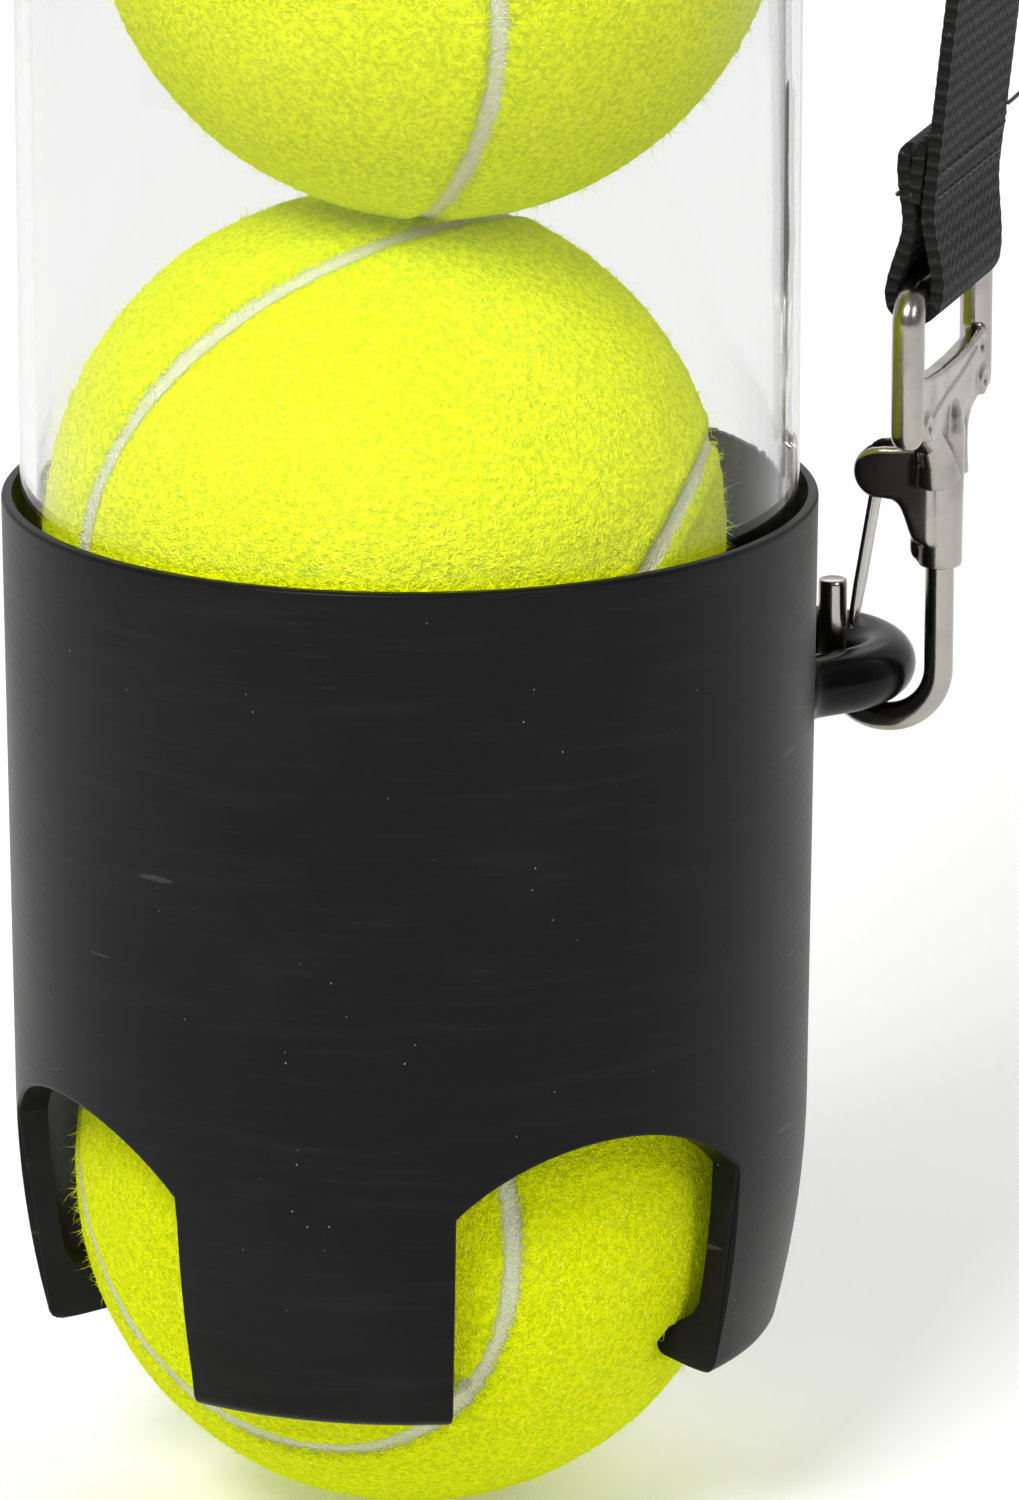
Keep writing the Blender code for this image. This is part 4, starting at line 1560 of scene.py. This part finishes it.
@dataclass(frozen=True)
class ShoulderStrap:
    """The webbing between the hooks: folded round each eye, turned under and sewn."""

    finish: bpy.types.Material
    thread: bpy.types.Material
    lower: HookSite
    upper: HookSite
    width: float = 25.0 * MM
    loop_width: float = 21.6 * MM
    thickness: float = 1.25 * MM
    bar_x: float = 15.2 * MM
    bar_z: float = 41.2 * MM
    bar_r: float = 1.65 * MM
    bow: float = 29.0 * MM
    tail: float = 14.7 * MM
    turned: float = 5.0 * MM
    pitch: float = 1.45 * MM
    columns: int = 12
    step: float = 0.48 * MM

    def low(self) -> float:
        """The lower bar's z."""
        return DATUM.z(self.lower.height) + self.bar_z

    def high(self) -> float:
        """The upper bar's z."""
        return DATUM.z(self.upper.height) - self.bar_z

    def middle(self, z: float) -> float:
        """How far out the strap's middle lies, as it bows away from the tube between the bars."""
        return self.bar_x + self.bow * math.sin(math.pi * (z - self.low()) / (self.high() - self.low()))

    def parted(self, near: float) -> float:
        """Half the distance between the two layers.

        Args:
            near: the distance from the bar.

        Returns:
            The half distance: wide round the bar, and pressed together beyond it.
        """
        wrap = self.bar_r + self.thickness / 2 + 0.1 * MM
        pressed = self.thickness / 2 + 0.05 * MM
        share = max(0.0, 1.0 - near / (9.5 * MM))
        return pressed + (wrap - pressed) * share * share * (3 - 2 * share)

    def end_route(self) -> list[Point]:
        """A tail, from its hidden edge down to the bar and round it.

        Returns:
            (side, distance from the bar) points.
        """
        fold_r = self.thickness * 0.62
        reach = self.tail
        inner = -self.parted(reach) - 0.15 * MM
        outer = inner - 2 * fold_r
        hidden = [(inner, reach - self.turned * (1 - i / 4)) for i in range(5)]
        fold = arc((inner - fold_r, reach), fold_r, 0, 180, 8)[1:]
        down = []
        for i in range(1, 15):
            near = reach * (1 - i / 14)
            share = min(1.0, i / 9)
            ease = share * share * (3 - 2 * share)
            down.append((outer * (1 - ease) - self.parted(near) * ease, near))
        wrap_r = self.parted(0.0)
        wrap = arc((0, 0), wrap_r, 180, 360, 14)[1:]
        return hidden + fold + down + wrap

    def route(self) -> list[Point]:
        """The whole strap, from one hidden edge to the other.

        Returns:
            (out, z) points.
        """
        low, high = self.low(), self.high()
        end = self.end_route()
        first = [(self.middle(low + max(near, 0)) + side, low + near) for side, near in end]
        last = [(self.middle(high - max(near, 0)) + side, high - near) for side, near in end]
        rise = [low + self.tail * i / 12 for i in range(1, 13)]
        fall = [high - self.tail * i / 12 for i in range(12, 0, -1)]
        span = high - low - 2 * self.tail
        main = [low + self.tail + span * i / 90 for i in range(1, 90)]
        out = [(self.middle(z) + self.parted(min(z - low, high - z)), z) for z in rise + main + fall]
        return first + out + last[::-1]

    def even_route(self) -> tuple[np.ndarray, float]:
        """The route at even steps.

        Returns:
            (out, z) rows, and the strap's whole length.
        """
        points = np.array(self.route())
        along = np.concatenate([[0], np.cumsum(np.linalg.norm(np.diff(points, axis=0), axis=1))])
        steps = int(along[-1] / self.step)
        at = np.linspace(0, along[-1], steps + 1)
        smooth = np.stack([np.interp(at, along, points[:, k]) for k in (0, 1)], 1)
        for _ in range(3):
            smooth[1:-1] = (smooth[:-2] + 2 * smooth[1:-1] + smooth[2:]) / 4
        return smooth, float(along[-1])

    def webbing(self) -> None:
        """Rolls a woven grid along the route and gives it its thickness."""
        rows, length = self.even_route()
        steps = len(rows) - 1
        shape = bmesh.new()
        chart = shape.loops.layers.uv.new("weave")
        bmesh.ops.create_grid(shape, x_segments=steps, y_segments=self.columns, size=0.5)
        near = np.minimum(np.abs(rows[:, 1] - self.low()), np.abs(rows[:, 1] - self.high()))
        share = np.clip(1 - near / (11 * MM), 0, 1)
        wide = self.width + (self.loop_width - self.width) * share**2 * (3 - 2 * share)
        place = self.lower.matrix()
        place.translation.z = 0
        for face in shape.faces:
            for loop in face.loops:
                across, along = loop.vert.co.y * self.width, (loop.vert.co.x + 0.5) * length
                loop[chart].uv = (across, along)
        for vert in shape.verts:
            row, across = round((vert.co.x + 0.5) * steps), vert.co.y
            along = row * length / steps
            edge = abs(across) > 0.499
            scallop = 0.13 * MM * math.sin(math.tau * along / self.pitch) * math.copysign(1, across)
            sway = 0.25 * MM * noise.noise(Vector((along * 60, across * 2, 5.0)))
            out, beside = rows[row][0] + sway * abs(across), across * wide[row] + (scallop if edge else 0)
            vert.co = place @ Vector((out, beside, rows[row][1]))
        piece = to_object("strap_ribbon", shape, turn_normals=False)
        thick = piece.modifiers.new("thickness", "SOLIDIFY")
        thick.thickness = self.thickness
        thick.offset = 0.0
        settle(piece, 60.0)
        present(piece, self.finish, "strap_set", ["strap_webbing"])
        log.info("strap cut length %.0f mm", length / MM)

    def sewn(self, site: HookSite) -> None:
        """Sews one joint: stitches in rows on both faces, and a knot with a loose end.

        Args:
            site: the hook that the joint holds.
        """
        shape = bmesh.new()
        side = Vector((0, 1, 0))
        up = -1 if site.upside_down else 1
        bar = DATUM.z(site.height) + up * self.bar_z

        def spot(face: int, across: float, near: float, proud: float) -> Vector:
            """A point on the joint's outer or inner face.

            Args:
                face: 1 for the outer face, -1 for the inner.
                across: the distance from the strap's middle line.
                near: the distance from the bar.
                proud: how far it stands off the face.

            Returns:
                The point, before the strap is swung to its place.
            """
            z = bar + up * near
            layers = self.parted(near) + self.thickness / 2
            tucked = self.thickness * 1.24 if near > self.tail - 9 * MM else 0
            off = layers if face > 0 else -layers - tucked
            return Vector((self.middle(z) + off + face * proud, across, z))

        for face in (1, -1):
            for near in (10.2 * MM, 12.6 * MM):
                for k in range(11):
                    across = (-10.5 + 2.1 * k) * MM
                    ends = [(across - 0.75 * MM, -0.12), (across - 0.4 * MM, 0.1), (across, 0.16),
                            (across + 0.4 * MM, 0.1), (across + 0.75 * MM, -0.12)]
                    route = [spot(face, a, near, p * MM) for a, p in ends]
                    rod(shape, route, 0.17 * MM, 8, Vector((0, 0, 1)))
        edge = self.width / 2
        for k in range(5):
            lump = spot(1, edge + (0.2 + 0.32 * math.sin(2.1 * k)) * MM, (12.8 + 0.8 * k) * MM, -0.7 * MM)
            bmesh.ops.create_icosphere(
                shape, subdivisions=2, radius=(0.75 - 0.06 * k) * MM, matrix=Matrix.Translation(lump)
            )
        loose = [(0.3, 14.6, 0.0), (1.3, 14.9, 0.3), (2.2, 15.4, 0.7), (3.0, 16.3, 0.8), (3.7, 17.6, 0.5)]
        rod(shape, [spot(1, edge + a * MM, n * MM, p * MM) for a, n, p in loose], 0.2 * MM, 8, side)
        place = self.lower.matrix()
        place.translation.z = 0
        bmesh.ops.transform(shape, matrix=place, verts=shape.verts)
        piece = to_object(f"{site.prefix}_strap_stitches", shape)
        settle(piece, 60.0)
        present(piece, self.thread, "strap_set")

    def build(self) -> None:
        """Makes the webbing and sews both its ends."""
        self.webbing()
        self.sewn(self.lower)
        self.sewn(self.upper)


# ---------------------------------------------------------------------------------------------
# The studio
# ---------------------------------------------------------------------------------------------


@dataclass(frozen=True)
class Lamp:
    """One soft box: where it stands, what it looks at, its size and its power."""

    name: str
    place: tuple[float, float, float]
    target: tuple[float, float, float]
    size: float
    power: float

    def build(self) -> None:
        """Adds the area light."""
        light = bpy.data.lights.new(self.name, "AREA")
        light.shape = "SQUARE"
        light.size = self.size
        light.energy = self.power
        made = bpy.data.objects.new(self.name, light)
        made.location = self.place
        made.visible_camera = False
        made.rotation_mode = "QUATERNION"
        made.rotation_quaternion = (Vector(self.target) - Vector(self.place)).to_track_quat("-Z", "Y")
        bpy.context.scene.collection.objects.link(made)


@dataclass(frozen=True)
class Studio:
    """A pale floor, soft boxes and the camera."""

    floor_finish: bpy.types.Material
    felt_below: float = 2.6 * MM
    floor_gap: float = 0.5 * MM
    floor_half: float = 6.0
    sky_near: float = 0.20
    sky_far: float = 0.75
    eye: tuple[float, float] = (-0.4972, -0.8561)
    eye_height: float = 0.34305
    heading: float = math.radians(59.29)
    pitch: float = math.radians(-16.07)
    lens: float = 251.07

    def floor(self) -> None:
        """Lays the floor just under the lowest ball."""
        shape = bmesh.new()
        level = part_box("ball_01")[0].z - self.felt_below - self.floor_gap
        place = Matrix.Translation((0, 0, level))
        bmesh.ops.create_grid(shape, x_segments=4, y_segments=4, size=self.floor_half, matrix=place)
        floor = to_object("studio_floor", shape)
        floor.data.materials.append(self.floor_finish)

    def camera(self) -> None:
        """Sets the camera, close to the lower end and a little above it."""
        lens = bpy.data.cameras.new("camera")
        lens.lens = self.lens
        lens.sensor_width = 36.0
        lens.clip_start, lens.clip_end = 0.05, 50.0
        camera = bpy.data.objects.new("camera", lens)
        camera.location = (*self.eye, DATUM.z(self.eye_height))
        level = math.cos(self.pitch)
        ahead = Vector((math.cos(self.heading) * level, math.sin(self.heading) * level, math.sin(self.pitch)))
        camera.rotation_mode = "QUATERNION"
        camera.rotation_quaternion = ahead.to_track_quat("-Z", "Y")
        bpy.context.scene.collection.objects.link(camera)
        bpy.context.scene.camera = camera

    def light(self) -> None:
        """Lights the scene with a sky that is darker behind the camera, and with soft boxes."""
        world = bpy.data.worlds.new("studio")
        world.use_nodes = True
        sky = Nodes(world.node_tree)
        backdrop = world.node_tree.nodes["Background"]
        ahead = (math.cos(self.heading), math.sin(self.heading), 0.0)
        around = sky.node("ShaderNodeTexCoord").outputs["Generated"]
        facing = sky.node("ShaderNodeVectorMath", {"operation": "DOT_PRODUCT"}, {0: around, 1: ahead})
        share = Value(sky, facing.outputs["Value"]).ramp(-0.35, 0.65)
        strength = share * (self.sky_far - self.sky_near) + self.sky_near
        sky.feed(backdrop, {"Color": (1.0, 1.0, 1.0, 1.0), "Strength": strength})
        bpy.context.scene.world = world
        bpy.context.scene.view_settings.view_transform = "Standard"
        low = DATUM.z(0.05)
        Lamp("key_box", (-1.4, -0.9, low + 1.6), (0, 0, low), 0.8, 36.0).build()
        Lamp("front_box", (0.2, -1.8, low + 1.2), (0, 0, low), 0.6, 9.0).build()
        Lamp("back_box", (0.50, 0.84, low + 1.0), (0.28, 0.47, low), 1.1, 4.4).build()

    def build(self) -> None:
        """Sets up the studio."""
        self.camera()
        self.floor()
        self.light()


def main() -> None:
    """Builds every sub-assembly in turn."""
    logging.basicConfig(level=logging.INFO, format="%(name)s %(message)s")
    black = MouldedBlack().material()
    gloss = MouldedBlack(
        name="black_loop_moulding", colour=(0.003, 0.003, 0.003), wear_and_highlight=(0.012, 0.012, 0.012),
        roughness=0.22, line_depth=0.00001
    ).material()
    steel = NickelPlate().material()

    Studio(StudioFloor().material()).build()
    PickupCup(black).build()
    ClearTube(ClearPlastic().material()).build()
    TopEnd(black).build()
    BallStack(Felt().material(), FeltFuzz().material()).build()

    lower = HookSite(height=60.7 * MM, upside_down=False, prefix="lower")
    upper = HookSite(height=948.9 * MM, upside_down=True, prefix="upper")
    for site in (lower, upper):
        StrapLoop(gloss, site.height, site.prefix).build()
        SnapHook(steel, site).build()
    ShoulderStrap(Webbing().material(), SewingThread().material(), lower, upper).build()

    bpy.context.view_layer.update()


if __name__ == "__main__":
    main()
